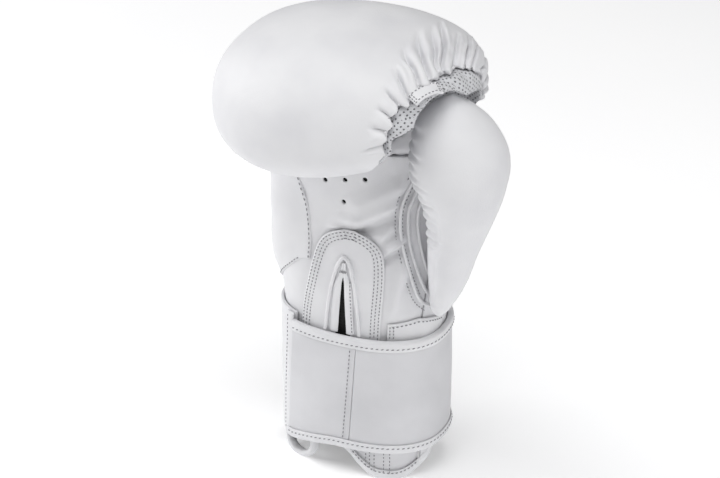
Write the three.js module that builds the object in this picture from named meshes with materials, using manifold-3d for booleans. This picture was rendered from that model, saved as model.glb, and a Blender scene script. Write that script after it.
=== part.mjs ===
// Boxing glove for the right hand with a hook-and-loop cuff, standing on the edge of its cuff.
// Millimetres, +Z up. The palm faces -Y, the thumb is at +X, and the fingers curl over towards -Y.
import * as THREE from 'three';
import { mergeVertices } from 'three/addons/utils/BufferGeometryUtils.js';
import Module from 'manifold-3d';

const wasm = await Module();
wasm.setup();

// Driving sizes
const GAP = 0.4;
const CUFF_WIDTH = 96;
const CUFF_DEPTH = 64.4;
const HAND_HEIGHT = 250;
const FIST_WIDTH = 158;
const FIST_DEPTH = 128;
const FIST_HEIGHT = 93;
const FIST_RISE = 253.5;
const FIST_TILT = 0.05;
const FIST_REACH = 24;
const GATHER_DEPTH = 3.2;
const THUMB_HEIGHT = 157;
const THUMB_WIDTH = 56;
const THUMB_WALL = 7;
const THUMB_BASE = 117;
const THUMB_OUT = 73.5;
const THUMB_REACH = 40;
const SHELL_BASE = 104;
const PALM_TOP = 224;
const PALM_WALL = 2.5;
const CURL_GAP = 6;
const MESH_WALL = 1.8;
const THUMB_ROOM = 19;
const CUFF_WALL = 4;
const FLAP_WALL = 2;
const STRAP_BASE = 21;
const STRAP_HEIGHT = 78.5;
const STRAP_DROP = 5.5;
const STRAP_WALL = 3;
const PIPING_WIDTH = 6.5;
const PIPING_PROUD = 0.8;
const PATCH_WALL = 1.2;
const PATCH_TOP = 173;
const SLIT_TOP = 140;
const SLIT_WIDTH = 14;
const SLIT_LEAN = 10;
const BINDING_WIDTH = 6;
const BINDING_WALL = 1.6;
const WELT_RADIUS = 1.3;
const VENT_DIAMETER = 2.4;
const VENT_HEIGHT = 205.5;
const VENT_SPACING = 11.5;
const SIDE_PAD = 3.6;
const THUMB_WAY = 20;
const LINING_WALL = 1;
const LINING_BASE = 19.5;
const LINING_TOP = 176;
const TAB_WIDTH = 8;
const TAB_WALL = 1.6;
const LOOP_TAPE = 4.4;
const LOOP_WALL = 2.4;

// Offsets of the layers outside the hand's own surface
const PATCH_OUT = GAP + PATCH_WALL;
const FLAP_OUT = GAP + FLAP_WALL;
const STRAP_IN = Math.max(FLAP_OUT, PATCH_OUT) + GAP;
const STRAP_OUT = STRAP_IN + STRAP_WALL;
const STRAP_TOP = STRAP_BASE + STRAP_HEIGHT;

// The hand's outer surface, from the cuff's edge up: height, half width, depth in front and behind, sideways shift
const HAND = [
  { height: 0.0, width: 0.985, front: 0.985, back: 0.985, shift: -0.06 },
  { height: 0.2, width: 1.0, front: 1.0, back: 1.0, shift: -0.06 },
  { height: 0.4, width: 1.0, front: 1.0, back: 1.0, shift: -0.06 },
  { height: 0.46, width: 1.03, front: 1.06, back: 1.09, shift: -0.05 },
  { height: 0.524, width: 1.08, front: 1.12, back: 1.17, shift: -0.04 },
  { height: 0.6, width: 1.11, front: 1.15, back: 1.24, shift: -0.02 },
  { height: 0.724, width: 1.13, front: 1.18, back: 1.3, shift: 0 },
  { height: 0.86, width: 1.15, front: 1.18, back: 1.33, shift: 0 },
  { height: 1.0, width: 1.15, front: 1.12, back: 1.3, shift: 0 },
];

// The hand's room, from the mouth to the fingertips: place along depth and height, half sizes, sideways shift
const ROOM = [
  { forward: 0.0, height: -0.02, width: 0.935, thick: 0.91, shift: -0.06 },
  { forward: 0.0, height: 0.24, width: 0.93, thick: 0.905, shift: -0.06 },
  { forward: 0.03, height: 0.4, width: 0.91, thick: 0.86, shift: -0.06 },
  { forward: 0.2, height: 0.52, width: 0.9, thick: 0.78, shift: -0.04 },
  { forward: 0.4, height: 0.66, width: 0.88, thick: 0.62, shift: -0.02 },
  { forward: 0.5, height: 0.8, width: 0.86, thick: 0.55, shift: 0 },
  { forward: 0.68, height: 0.92, width: 0.84, thick: 0.34, shift: -0.03 },
  { forward: 0.95, height: 0.985, width: 0.8, thick: 0.29, shift: -0.08 },
  { forward: 1.28, height: 0.995, width: 0.74, thick: 0.28, shift: -0.12 },
  { forward: 1.58, height: 0.965, width: 0.66, thick: 0.27, shift: -0.15 },
  { forward: 1.66, height: 0.925, width: 0.56, thick: 0.22, shift: -0.16 },
];

// How far the roll's underside reaches down, from the little finger's end to the thumb's end
const UNDERSIDE = [
  { share: -1, depth: 1 },
  { share: -0.5, depth: 0.98 },
  { share: -0.2, depth: 0.93 },
  { share: 0, depth: 0.86 },
  { share: 0.2, depth: 0.76 },
  { share: 0.35, depth: 0.67 },
  { share: 0.5, depth: 0.59 },
  { share: 0.7, depth: 0.52 },
  { share: 1, depth: 0.5 },
];

// The thumb from its foot to its tip: height, place outwards and forwards, half width, room round it,
// and the part of that room which the mesh leaves open
const THUMB = [
  { height: 0.0, out: 0.728, forward: 0.5, radius: 0.09, room: 0.0, hold: 0.0 },
  { height: 0.02, out: 0.735, forward: 0.5, radius: 0.17, room: 0.0, hold: 0.0 },
  { height: 0.07, out: 0.76, forward: 0.55, radius: 0.28, room: 0.0, hold: 0.0 },
  { height: 0.19, out: 0.82, forward: 0.65, radius: 0.44, room: 0.2, hold: 0.2 },
  { height: 0.32, out: 0.88, forward: 0.75, radius: 0.55, room: 0.5, hold: 0.5 },
  { height: 0.45, out: 0.95, forward: 0.85, radius: 0.67, room: 0.8, hold: 0.8 },
  { height: 0.58, out: 0.99, forward: 0.95, radius: 0.85, room: 1.0, hold: 1.0 },
  { height: 0.65, out: 0.995, forward: 0.98, radius: 0.94, room: 1.0, hold: 1.0 },
  { height: 0.73, out: 1.0, forward: 1.0, radius: 1.0, room: 1.0, hold: 1.0 },
  { height: 0.8, out: 0.99, forward: 1.0, radius: 0.965, room: 1.0, hold: 0.97 },
  { height: 0.87, out: 0.955, forward: 0.985, radius: 0.83, room: 0.97, hold: 0.78 },
  { height: 0.93, out: 0.925, forward: 0.965, radius: 0.6, room: 0.86, hold: 0.38 },
  { height: 0.965, out: 0.91, forward: 0.95, radius: 0.36, room: 0.66, hold: 0.18 },
  { height: 1.0, out: 0.905, forward: 0.94, radius: 0.05, room: 0.5, hold: 0.08 },
];

// The lower edge of the palm leather round the cuff: angle from the front towards the thumb, and height
// as a share of the strap's foot
const PALM_EDGE = [
  { angle: -105, height: 0.095 },
  { angle: -88, height: 0.286 },
  { angle: -74, height: 0.905 },
  { angle: -18, height: 0.905 },
  { angle: -4, height: 1.024 },
  { angle: 3, height: 0.786 },
  { angle: 10, height: 0.405 },
  { angle: 19, height: 0.095 },
  { angle: 28, height: 0.014 },
  { angle: 36, height: 0.0 },
  { angle: 45, height: 0.062 },
  { angle: 56, height: 0.238 },
  { angle: 64, height: 0.452 },
];

// The lower edge of the cuff's back, from the thumb's side round to the flap, in the same way
const BACK_EDGE = [
  { angle: 62, height: 0.43 },
  { angle: 72, height: 0.62 },
  { angle: 80, height: 0.95 },
  { angle: 88, height: 1.03 },
  { angle: 105, height: 0.95 },
  { angle: 122, height: 0.2 },
  { angle: 135, height: 0.0 },
  { angle: 245, height: 0.0 },
  { angle: 268, height: 0.095 },
  { angle: 280, height: 0.38 },
  { angle: 289, height: 0.62 },
  { angle: 325, height: 0.667 },
];

// The seam and the lower end of the side panel: height along the hand, sideways place, and by angle
const SIDE_SEAM = [
  { height: 0.4, across: -0.45 },
  { height: 0.576, across: -0.449 },
  { height: 0.64, across: -0.424 },
  { height: 0.724, across: -0.455 },
  { height: 0.79, across: -0.572 },
  { height: 0.89, across: -0.7 },
];
const SIDE_END = [
  { angle: -106, height: 0.435 },
  { angle: -80, height: 0.45 },
  { angle: -58, height: 0.49 },
  { angle: -40, height: 0.535 },
  { angle: -26, height: 0.575 },
  { angle: -18, height: 0.585 },
];

// The arched patch: height as a share of its top, middle and half width as shares of half the cuff's width
const ARCH = [
  { height: 0.12, middle: -0.17, half: 0.53 },
  { height: 0.58, middle: -0.09, half: 0.517 },
  { height: 0.79, middle: 0.028, half: 0.481 },
  { height: 0.88, middle: 0.076, half: 0.445 },
  { height: 0.925, middle: 0.095, half: 0.405 },
  { height: 0.96, middle: 0.102, half: 0.33 },
  { height: 0.985, middle: 0.106, half: 0.21 },
  { height: 1.0, middle: 0.106, half: 0.07 },
];

// The welts between palm and thumb: height along the hand and sideways place
const WELTS = {
  outer: [
    { height: 0.852, across: 0.87 },
    { height: 0.8, across: 0.763 },
    { height: 0.752, across: 0.71 },
    { height: 0.68, across: 0.718 },
    { height: 0.6, across: 0.784 },
    { height: 0.516, across: 0.86 },
    { height: 0.472, across: 0.95 },
  ],
  middle: [
    { height: 0.836, across: 0.93 },
    { height: 0.796, across: 0.85 },
    { height: 0.752, across: 0.79 },
    { height: 0.68, across: 0.795 },
    { height: 0.6, across: 0.86 },
    { height: 0.524, across: 0.935 },
  ],
  inner: [
    { height: 0.79, across: 0.93 },
    { height: 0.752, across: 0.885 },
    { height: 0.7, across: 0.885 },
    { height: 0.62, across: 0.93 },
    { height: 0.56, across: 0.98 },
  ],
};

// Tables
function between(table, key, column, at) {
  const last = table.length - 1;
  if (at <= table[0][key]) return table[0][column];
  if (at >= table[last][key]) return table[last][column];
  let i = 0;
  while (table[i + 1][key] < at) i += 1;
  const span = table[i + 1][key] - table[i][key];
  const slope = (k) => {
    const a = Math.max(k - 1, 0);
    const b = Math.min(k + 1, last);
    return (table[b][column] - table[a][column]) / (table[b][key] - table[a][key]);
  };
  const t = (at - table[i][key]) / span;
  const h = 1 - t;
  return (
    table[i][column] * h * h * (1 + 2 * t) +
    table[i + 1][column] * t * t * (1 + 2 * h) +
    slope(i) * span * t * h * h -
    slope(i + 1) * span * h * t * t
  );
}

const bent = (value, power) => Math.sign(value) * Math.abs(value) ** power;

// Meshes
function closedGeometry(points, triangles) {
  const geometry = new THREE.BufferGeometry();
  const numbers = points.flatMap((p) => [p.x, p.y, p.z]);
  geometry.setAttribute('position', new THREE.Float32BufferAttribute(numbers, 3));
  let volume = 0;
  for (const [a, b, c] of triangles) {
    volume += points[a].dot(new THREE.Vector3().crossVectors(points[b], points[c]));
  }
  const out = volume > 0 ? triangles : triangles.map(([a, b, c]) => [a, c, b]);
  geometry.setIndex(out.flat());
  return geometry;
}

// A closed body through rings of points, with a fan over each end
function loft(rings) {
  const count = rings[0].length;
  const points = rings.flat();
  const triangles = [];
  for (let r = 0; r + 1 < rings.length; r += 1) {
    for (let i = 0; i < count; i += 1) {
      const a = r * count + i;
      const b = r * count + ((i + 1) % count);
      triangles.push([a, b, b + count], [a, b + count, a + count]);
    }
  }
  const ends = [[0, false], [rings.length - 1, true]];
  for (const [ring, top] of ends) {
    const middle = new THREE.Vector3();
    rings[ring].forEach((p) => middle.addScaledVector(p, 1 / count));
    points.push(middle);
    for (let i = 0; i < count; i += 1) {
      const a = ring * count + i;
      const b = ring * count + ((i + 1) % count);
      triangles.push(top ? [a, b, points.length - 1] : [b, a, points.length - 1]);
    }
  }
  return closedGeometry(points, triangles);
}

// A closed plate: face(u, v, side) gives its outer face at side 0 and its inner face at side 1
function plate(across, along, face) {
  const points = [];
  const index = (side, i, j) => (side * (along + 1) + j) * (across + 1) + i;
  for (let side = 0; side < 2; side += 1) {
    for (let j = 0; j <= along; j += 1) {
      for (let i = 0; i <= across; i += 1) points.push(face(i / across, j / along, side));
    }
  }
  const triangles = [];
  const quad = (a, b, c, d) => triangles.push([a, b, c], [a, c, d]);
  for (let j = 0; j < along; j += 1) {
    for (let i = 0; i < across; i += 1) {
      quad(index(0, i, j), index(0, i + 1, j), index(0, i + 1, j + 1), index(0, i, j + 1));
      quad(index(1, i, j), index(1, i, j + 1), index(1, i + 1, j + 1), index(1, i + 1, j));
    }
    quad(index(0, 0, j), index(0, 0, j + 1), index(1, 0, j + 1), index(1, 0, j));
    quad(index(0, across, j), index(1, across, j), index(1, across, j + 1), index(0, across, j + 1));
  }
  for (let i = 0; i < across; i += 1) {
    quad(index(0, i, 0), index(1, i, 0), index(1, i + 1, 0), index(0, i + 1, 0));
    quad(index(0, i, along), index(0, i + 1, along), index(1, i + 1, along), index(1, i, along));
  }
  return closedGeometry(points, triangles);
}

function toSolid(geometry) {
  const plain = geometry.clone();
  plain.deleteAttribute('normal');
  plain.deleteAttribute('uv');
  const merged = mergeVertices(plain, 1e-4);
  return new wasm.Manifold(
    new wasm.Mesh({
      numProp: 3,
      vertProperties: Float32Array.from(merged.attributes.position.array),
      triVerts: Uint32Array.from(merged.index.array),
    }),
  );
}

// The largest piece of a cut body, without the crumbs that a cut can leave
function largest(body) {
  return body.decompose().reduce((a, b) => (b.volume() > a.volume() ? b : a));
}

function toGeometry(body) {
  const mesh = largest(body).getMesh();
  const geometry = new THREE.BufferGeometry();
  geometry.setAttribute('position', new THREE.BufferAttribute(mesh.vertProperties, 3));
  geometry.setIndex(new THREE.BufferAttribute(mesh.triVerts, 1));
  return geometry;
}

// A closed body swept through copies of a flat outline, which may have inner corners
function sweep(rings, outline) {
  const count = outline.length;
  const points = rings.flat();
  const triangles = [];
  for (let r = 0; r + 1 < rings.length; r += 1) {
    for (let i = 0; i < count; i += 1) {
      const a = r * count + i;
      const b = r * count + ((i + 1) % count);
      triangles.push([a, b, b + count], [a, b + count, a + count]);
    }
  }
  const caps = THREE.ShapeUtils.triangulateShape(outline.map(([x, y]) => new THREE.Vector2(x, y)), []);
  const flip = THREE.ShapeUtils.area(outline.map(([x, y]) => new THREE.Vector2(x, y))) < 0;
  const last = (rings.length - 1) * count;
  for (const [a, b, c] of caps) {
    const [p, q] = flip ? [c, a] : [a, c];
    triangles.push([q, b, p], [last + p, last + b, last + q]);
  }
  return closedGeometry(points, triangles);
}

// The four corners of a tape's section
function tapeSection(middle, across, width, upwards, wall) {
  const corners = [[-1, -1], [1, -1], [1, 1], [-1, 1]];
  return corners.map(([a, b]) =>
    middle
      .clone()
      .addScaledVector(across, (a * width) / 2)
      .addScaledVector(upwards, (b * wall) / 2),
  );
}

// A round cord along a path, closed at both ends
function band(path, shape, steps) {
  const curve = new THREE.CatmullRomCurve3(path);
  return new THREE.ExtrudeGeometry(shape, { steps, extrudePath: curve, bevelEnabled: false });
}

function disc(radius, sides) {
  const shape = new THREE.Shape();
  for (let i = 0; i <= sides; i += 1) {
    const turn = (i / sides) * 2 * Math.PI;
    const x = radius * Math.cos(turn);
    const y = radius * Math.sin(turn);
    if (i === 0) shape.moveTo(x, y);
    else shape.lineTo(x, y);
  }
  return shape;
}

// The hand's surface
const degrees = Math.PI / 180;
const HAND_POWER = 2 / 2.4;

const handShift = (height) => (between(HAND, 'height', 'shift', height / HAND_HEIGHT) * CUFF_WIDTH) / 2;

function handPoint(angle, height, offset) {
  const at = height / HAND_HEIGHT;
  const width = (between(HAND, 'height', 'width', at) * CUFF_WIDTH) / 2 + offset;
  const side = Math.cos(angle) > 0 ? 'front' : 'back';
  const depth = (between(HAND, 'height', side, at) * CUFF_DEPTH) / 2 + offset;
  return new THREE.Vector3(
    handShift(height) + width * bent(Math.sin(angle), HAND_POWER),
    -depth * bent(Math.cos(angle), HAND_POWER),
    height,
  );
}

// The angle at which the hand's surface has the given sideways place, on the palm's side
function handAngle(across, height) {
  const width = (between(HAND, 'height', 'width', height / HAND_HEIGHT) * CUFF_WIDTH) / 2;
  const share = (across - handShift(height)) / width;
  return Math.asin(bent(Math.max(-1, Math.min(1, share)), 1 / HAND_POWER));
}

function handTube(low, high, offset, rows, sides) {
  const rings = [];
  for (let j = 0; j <= rows; j += 1) {
    const height = low + ((high - low) * j) / rows;
    const ring = [];
    for (let i = 0; i < sides; i += 1) ring.push(handPoint((i / sides) * 2 * Math.PI, height, offset));
    rings.push(ring);
  }
  return toSolid(loft(rings));
}

function handRoom(shrink) {
  const spine = ROOM.map(
    (row) => new THREE.Vector3(0, (-row.forward * CUFF_DEPTH) / 2, row.height * HAND_HEIGHT),
  );
  const curve = new THREE.CatmullRomCurve3(spine, false, 'centripetal');
  const steps = 16;
  const sides = 18;
  const table = ROOM.map((row, i) => ({ ...row, at: i / (ROOM.length - 1) }));
  const rings = [];
  for (let j = 0; j <= steps; j += 1) {
    const at = j / steps;
    const middle = curve.getPoint(at);
    const along = curve.getTangent(at);
    const behind = new THREE.Vector3(0, along.z, -along.y);
    const width = (between(table, 'at', 'width', at) * CUFF_WIDTH) / 2 - shrink;
    const thick = (between(table, 'at', 'thick', at) * CUFF_DEPTH) / 2 - shrink;
    const shift = (between(table, 'at', 'shift', at) * CUFF_WIDTH) / 2;
    const ring = [];
    for (let i = 0; i < sides; i += 1) {
      const turn = (i / sides) * 2 * Math.PI;
      const point = middle.clone();
      point.x += shift + width * bent(Math.sin(turn), HAND_POWER);
      point.addScaledVector(behind, -thick * bent(Math.cos(turn), HAND_POWER));
      ring.push(point);
    }
    rings.push(ring);
  }
  return toSolid(loft(rings));
}

// The thumb's surface, grown by a margin all round and by its room towards the palm and the front
function thumbBody(margin, room, share = 'room') {
  const rings = [];
  const steps = 14;
  const sides = 16;
  for (let j = 0; j <= steps; j += 1) {
    const at = (1 - Math.cos((j / steps) * Math.PI)) / 2;
    const grown = between(THUMB, 'height', share, at) * room;
    const radius = (between(THUMB, 'height', 'radius', at) * THUMB_WIDTH) / 2 + margin + grown / 2;
    const x = between(THUMB, 'height', 'out', at) * THUMB_OUT - grown / 2;
    const y = -between(THUMB, 'height', 'forward', at) * THUMB_REACH - grown * 0.2;
    const lift = (2 * at - 1) * margin + at * grown;
    const ring = [];
    for (let i = 0; i < sides; i += 1) {
      const turn = (i / sides) * 2 * Math.PI;
      ring.push(
        new THREE.Vector3(
          x + radius * Math.sin(turn),
          y - radius * Math.cos(turn),
          THUMB_BASE + at * THUMB_HEIGHT + lift,
        ),
      );
    }
    rings.push(ring);
  }
  return toSolid(loft(rings));
}

// The fist: a roll with round ends, gathered round the thumb's tip
const FIST_POWER = 2 / 2.45;
const FIST_SIDES = 64;
const ROLL_END = 0.985;
const GATHERS = 16;
const GATHER_START = 0.42;
const GATHER_REACH = 0.3;
const HUB_SHIFT = 8;
const MESH_DROP = 0.7;

function fistRoll(grow) {
  const slices = 18;
  const rings = [];
  for (let j = 0; j <= slices; j += 1) {
    const lean = (-1 + (2 * j) / slices) * ROLL_END * (Math.PI / 2);
    const x = (FIST_WIDTH / 2 + grow) * bent(Math.sin(lean), FIST_POWER);
    const size = Math.cos(lean) ** FIST_POWER;
    const share = x / (FIST_WIDTH / 2 + grow);
    const toHub = HUB_SHIFT * Math.max(0, share) ** 4;
    const gathered = Math.min(1, Math.max(0, (share - GATHER_START) / GATHER_REACH));
    const ring = [];
    for (let i = 0; i < FIST_SIDES; i += 1) {
      const turn = (i / FIST_SIDES) * 2 * Math.PI;
      const fold = Math.abs(Math.sin((turn * GATHERS) / 2)) ** 0.7;
      const shrink = gathered * GATHER_DEPTH * (1 - fold);
      const depth = (FIST_DEPTH / 2 + grow) * size - shrink * size ** 0.3;
      const height = (FIST_HEIGHT / 2 + grow) * size - shrink * size ** 0.3;
      const under = Math.sin(turn) < 0 ? between(UNDERSIDE, 'share', 'depth', share) : 1;
      const forward = Math.max(depth, 1) * bent(Math.cos(turn), FIST_POWER);
      const up = Math.max(height, 1) * under * bent(Math.sin(turn), FIST_POWER);
      ring.push(
        new THREE.Vector3(x, -FIST_REACH - toHub - forward, FIST_RISE + FIST_TILT * x + toHub + up),
      );
    }
    rings.push(ring);
  }
  return toSolid(loft(rings));
}

// Angles round the hand, and the arc's usual radius there
const PALM_LEFT = -104 * degrees;
const PALM_RIGHT = 62 * degrees;
const STRAP_START = -33 * degrees;
const STRAP_SEAM = 9 * degrees;
const STRAP_END = 262 * degrees;
const TURN = 2 * Math.PI;
const ARC_RADIUS = CUFF_WIDTH * 0.417;

const room = handRoom(0);
const thumb = thumbBody(0, 0);
const thumbRoom = thumbBody(-THUMB_WALL, 0);
const crater = thumbBody(GAP + MESH_WALL + GAP, THUMB_ROOM);

const SLIT_END = 1.2;
const SLIT_START = -20;
const slitHalf = (height) => (SLIT_WIDTH / 2) * (1 - height / SLIT_TOP) + SLIT_END / 2;
const slitMiddle = (height) => 1 - (SLIT_LEAN * (SLIT_TOP - height)) / SLIT_TOP;

// A slit that widens from its top down to the cuff's edge
function slitCutter(extra) {
  const high = SLIT_TOP + extra * 2;
  const face = (u, v, side) => {
    const height = SLIT_START + v * (high - SLIT_START);
    const half = Math.max(slitHalf(height) + extra, SLIT_END / 2);
    return new THREE.Vector3(slitMiddle(height) + (2 * u - 1) * half, side ? 0 : -CUFF_DEPTH, height);
  };
  return toSolid(plate(1, 6, face));
}

const palmEdge = (angle) => Math.max(0, between(PALM_EDGE, 'angle', 'height', angle / degrees)) * STRAP_BASE;

// A plate on the hand's surface between two angles and two heights, each of which may vary
function wrap({ from, to, low, high, outer, inner, across = 24, along = 10 }) {
  return plate(across, along, (u, v, side) => {
    const rough = from(low(from(0))) + u * (to(low(to(0))) - from(low(from(0))));
    const bottom = low(rough);
    const height = bottom + v * (high(rough) - bottom);
    const angle = from(height) + u * (to(height) - from(height));
    return handPoint(angle, height, side ? inner(angle, height, u, v) : outer(angle, height, u, v));
  });
}

const always = (value) => () => value;

function palmPlate(margin, top, outer, inner) {
  return wrap({
    from: always(PALM_LEFT - margin / ARC_RADIUS),
    to: always(PALM_RIGHT + margin / ARC_RADIUS),
    low: (angle) => palmEdge(angle) - margin,
    high: always(top),
    outer: always(outer),
    inner: always(inner),
    across: 20,
    along: 11,
  });
}

// A strip on the palm's side whose middle and half width depend on the height
function palmStrip({ middle, half, low, high, outer, inner, across = 6, along = 12 }) {
  return plate(across, along, (u, v, side) => {
    const height = low + v * (high - low);
    const place = middle(height) + (2 * u - 1) * half(height);
    return handPoint(handAngle(place, height), height, side ? inner : outer);
  });
}

// The way from the hand's room into the thumb
const wayPath = [
  [0.58, 0.2, 0.57],
  [0.9, 0.38, 0.65],
  [1.2, 0.62, 0.73],
  [1.45, 0.98, 0.81],
].map(([out, forward, up]) =>
  new THREE.Vector3((out * CUFF_WIDTH) / 2, (-forward * CUFF_DEPTH) / 2, up * HAND_HEIGHT));
const thumbWay = toSolid(band(wayPath, disc(THUMB_WAY / 2, 12), 6));

const group = new THREE.Group();

const finishes = {
  leather: { color: '#e9e9ea', roughness: 0.62, metalness: 0 },
  strap: { color: '#dcdcdd', roughness: 0.7, metalness: 0 },
  mesh: { color: '#d2d3d5', roughness: 0.8, metalness: 0 },
  binding: { color: '#ececec', roughness: 0.55, metalness: 0 },
  lining: { color: '#0b0b0c', roughness: 0.9, metalness: 0 },
};

function addPiece(name, geometry, finish) {
  geometry.computeVertexNormals();
  const mesh = new THREE.Mesh(geometry, new THREE.MeshStandardMaterial(finishes[finish]));
  mesh.name = name;
  group.add(mesh);
}

// Short strap that ties the mesh at the thumb's tip to the fist, pressed into the padding at both ends
const TAB = [
  { out: 0.716, forward: 0.697, up: 0.592 },
  { out: 0.737, forward: 0.666, up: 0.643 },
  { out: 0.772, forward: 0.586, up: 0.669 },
  { out: 0.81, forward: 0.508, up: 0.673 },
  { out: 0.838, forward: 0.461, up: 0.65 },
];
const TAB_FACING = new THREE.Vector3(0, -0.5, 0.86);
const TAB_STEPS = 8;
const tabCurve = new THREE.CatmullRomCurve3(TAB.map((row) => new THREE.Vector3(
  (row.out * FIST_WIDTH) / 2,
  -FIST_REACH - (row.forward * FIST_DEPTH) / 2,
  FIST_RISE + (row.up * FIST_HEIGHT) / 2,
)));

function tabBody(margin) {
  const rings = [];
  for (let i = 0; i <= TAB_STEPS; i += 1) {
    const at = i / TAB_STEPS;
    const along = tabCurve.getTangent(at);
    const across = new THREE.Vector3().crossVectors(along, TAB_FACING).normalize();
    const upwards = new THREE.Vector3().crossVectors(across, along);
    const middle = tabCurve.getPoint(at).addScaledVector(along, (2 * at - 1) * margin);
    rings.push(tapeSection(middle, across, TAB_WIDTH + 2 * margin, upwards, TAB_WALL + 2 * margin));
  }
  return toSolid(loft(rings));
}

const tabSeat = tabBody(GAP);
addPiece('thumb_tab', toGeometry(tabBody(0)), 'binding');

// Fist and back of the hand
const palmCut = toSolid(palmPlate(GAP, PALM_TOP + GAP, CURL_GAP, -PALM_WALL - GAP));
const handCore = handTube(SHELL_BASE, HAND_HEIGHT, 0, 8, 36);
const fistBody = fistRoll(0)
  .subtract(crater)
  .add(handCore)
  .subtract(room)
  .subtract(palmCut)
  .subtract(thumbWay)
  .subtract(tabSeat);
addPiece('fist_shell', toGeometry(fistBody), 'leather');

// Palm leather with its slit and vent holes
function ventCutter() {
  const places = [[-1, 0], [0, 0], [1, 0], [0, -1.2]];
  const holes = places.map(([across, down]) => {
    const hole = new THREE.CylinderGeometry(VENT_DIAMETER / 2, VENT_DIAMETER / 2, CUFF_DEPTH / 2, 8);
    hole.translate(1 + across * VENT_SPACING, -CUFF_DEPTH / 2, VENT_HEIGHT + down * VENT_SPACING);
    return toSolid(hole);
  });
  return holes.reduce((a, b) => a.add(b));
}
const palm = toSolid(palmPlate(0, PALM_TOP, 0, -PALM_WALL))
  .subtract(slitCutter(0))
  .subtract(ventCutter())
  .subtract(thumbWay);
addPiece('palm_panel', toGeometry(palm), 'leather');

// Padded panel on the little finger's side
const SIDE_EDGE = 1.5;
const seamAngle = (height) => {
  const across = between(SIDE_SEAM, 'height', 'across', height / HAND_HEIGHT);
  return handAngle((across * CUFF_WIDTH) / 2, height);
};
const sideEnd = (angle) => between(SIDE_END, 'angle', 'height', angle / degrees) * HAND_HEIGHT;
const sidePanel = wrap({
  from: always(PALM_LEFT),
  to: seamAngle,
  low: sideEnd,
  high: always(PALM_TOP - GAP),
  outer: (angle, height, u, v) =>
    GAP + SIDE_EDGE + (SIDE_PAD - SIDE_EDGE) * (Math.sin(Math.PI * u) * Math.sin(Math.PI * v)) ** 0.6,
  inner: always(GAP),
  across: 10,
  along: 9,
});
addPiece('side_panel', sidePanel, 'leather');

// Mesh that lines the room round the thumb, open where the thumb swings forwards and up
const THUMB_SWING = [14, -32, 20];
const thumbFit = thumbBody(GAP, 0);
const thumbSwing = wasm.Manifold.hull([thumbFit, thumbFit.translate(THUMB_SWING)]);
const meshBody = thumbBody(GAP + MESH_WALL, THUMB_ROOM)
  .subtract(thumbBody(GAP, THUMB_ROOM, 'hold'))
  .intersect(fistRoll(-GATHER_DEPTH * MESH_DROP))
  .subtract(handTube(SHELL_BASE, HAND_HEIGHT + GAP, GAP, 8, 36))
  .subtract(thumbSwing)
  .subtract(tabSeat);
addPiece('grip_mesh', toGeometry(meshBody), 'mesh');

// Thumb
const thumbShell = thumb
  .subtract(thumbRoom)
  .subtract(handTube(-20, HAND_HEIGHT + 60, GAP, 16, 36))
  .subtract(thumbWay);
addPiece('thumb_pod', toGeometry(thumbShell), 'leather');

// Welts between palm and thumb
for (const [name, rows] of Object.entries(WELTS)) {
  const path = rows.map((row) => {
    const height = row.height * HAND_HEIGHT;
    return handPoint(handAngle((row.across * CUFF_WIDTH) / 2, height), height, GAP + WELT_RADIUS);
  });
  const welt = toSolid(band(path, disc(WELT_RADIUS, 6), 12)).subtract(thumbBody(GAP, 0));
  addPiece(`gusset_welt_${name}`, toGeometry(welt), 'leather');
}

// Arched patch and the bound slit
const patchHalf = CUFF_WIDTH / 2;
const patch = toSolid(palmStrip({
  middle: (height) => between(ARCH, 'height', 'middle', height / PATCH_TOP) * patchHalf,
  half: (height) => between(ARCH, 'height', 'half', height / PATCH_TOP) * patchHalf,
  low: STRAP_BASE + BINDING_WIDTH,
  high: PATCH_TOP,
  outer: PATCH_OUT,
  inner: GAP * 1.3,
  across: 8,
  along: 13,
})).subtract(slitCutter(0));
addPiece('wrist_patch', toGeometry(patch), 'leather');

for (const [name, side] of [['left', -1], ['right', 1]]) {
  const strip = palmStrip({
    middle: (height) => slitMiddle(height) + side * (slitHalf(height) + BINDING_WIDTH / 2),
    half: always(BINDING_WIDTH / 2),
    low: STRAP_TOP + GAP,
    high: SLIT_TOP + BINDING_WIDTH,
    outer: PATCH_OUT + GAP + BINDING_WALL,
    inner: PATCH_OUT + GAP,
    across: 2,
    along: 4,
  });
  addPiece(`slit_binding_${name}`, strip, 'binding');
}

const weltOut = BINDING_WIDTH + GAP * 2 + WELT_RADIUS;
const WELT_RISE = 1.1;
const weltPath = [];
for (const [side, heights] of [[-1, [0, 0.35, 0.7, 1]], [1, [1, 0.7, 0.35, 0]]]) {
  for (const share of heights) {
    const height = STRAP_TOP + GAP + share * (SLIT_TOP + BINDING_WIDTH - STRAP_TOP);
    const across = slitMiddle(height) + side * (slitHalf(Math.min(height, SLIT_TOP)) + weltOut);
    weltPath.push(handPoint(handAngle(across, height), height, PATCH_OUT + GAP + WELT_RADIUS));
  }
  if (side < 0) {
    const top = SLIT_TOP + BINDING_WIDTH + weltOut * WELT_RISE;
    weltPath.push(handPoint(handAngle(slitMiddle(SLIT_TOP), top), top, PATCH_OUT + GAP + WELT_RADIUS));
  }
}
addPiece('slit_welt', band(weltPath, disc(WELT_RADIUS, 6), 20), 'leather');

// The strap's first edge leans outwards towards its foot, and the flap ends beside it
const STRAP_LEAN = 5.5;
const strapStart = (height) =>
  STRAP_START - (((STRAP_TOP - height) / STRAP_HEIGHT) * STRAP_LEAN) / (CUFF_WIDTH / 2);
const flapEdge = (height) => strapStart(height) - (2 * GAP) / (CUFF_WIDTH / 2);

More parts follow.
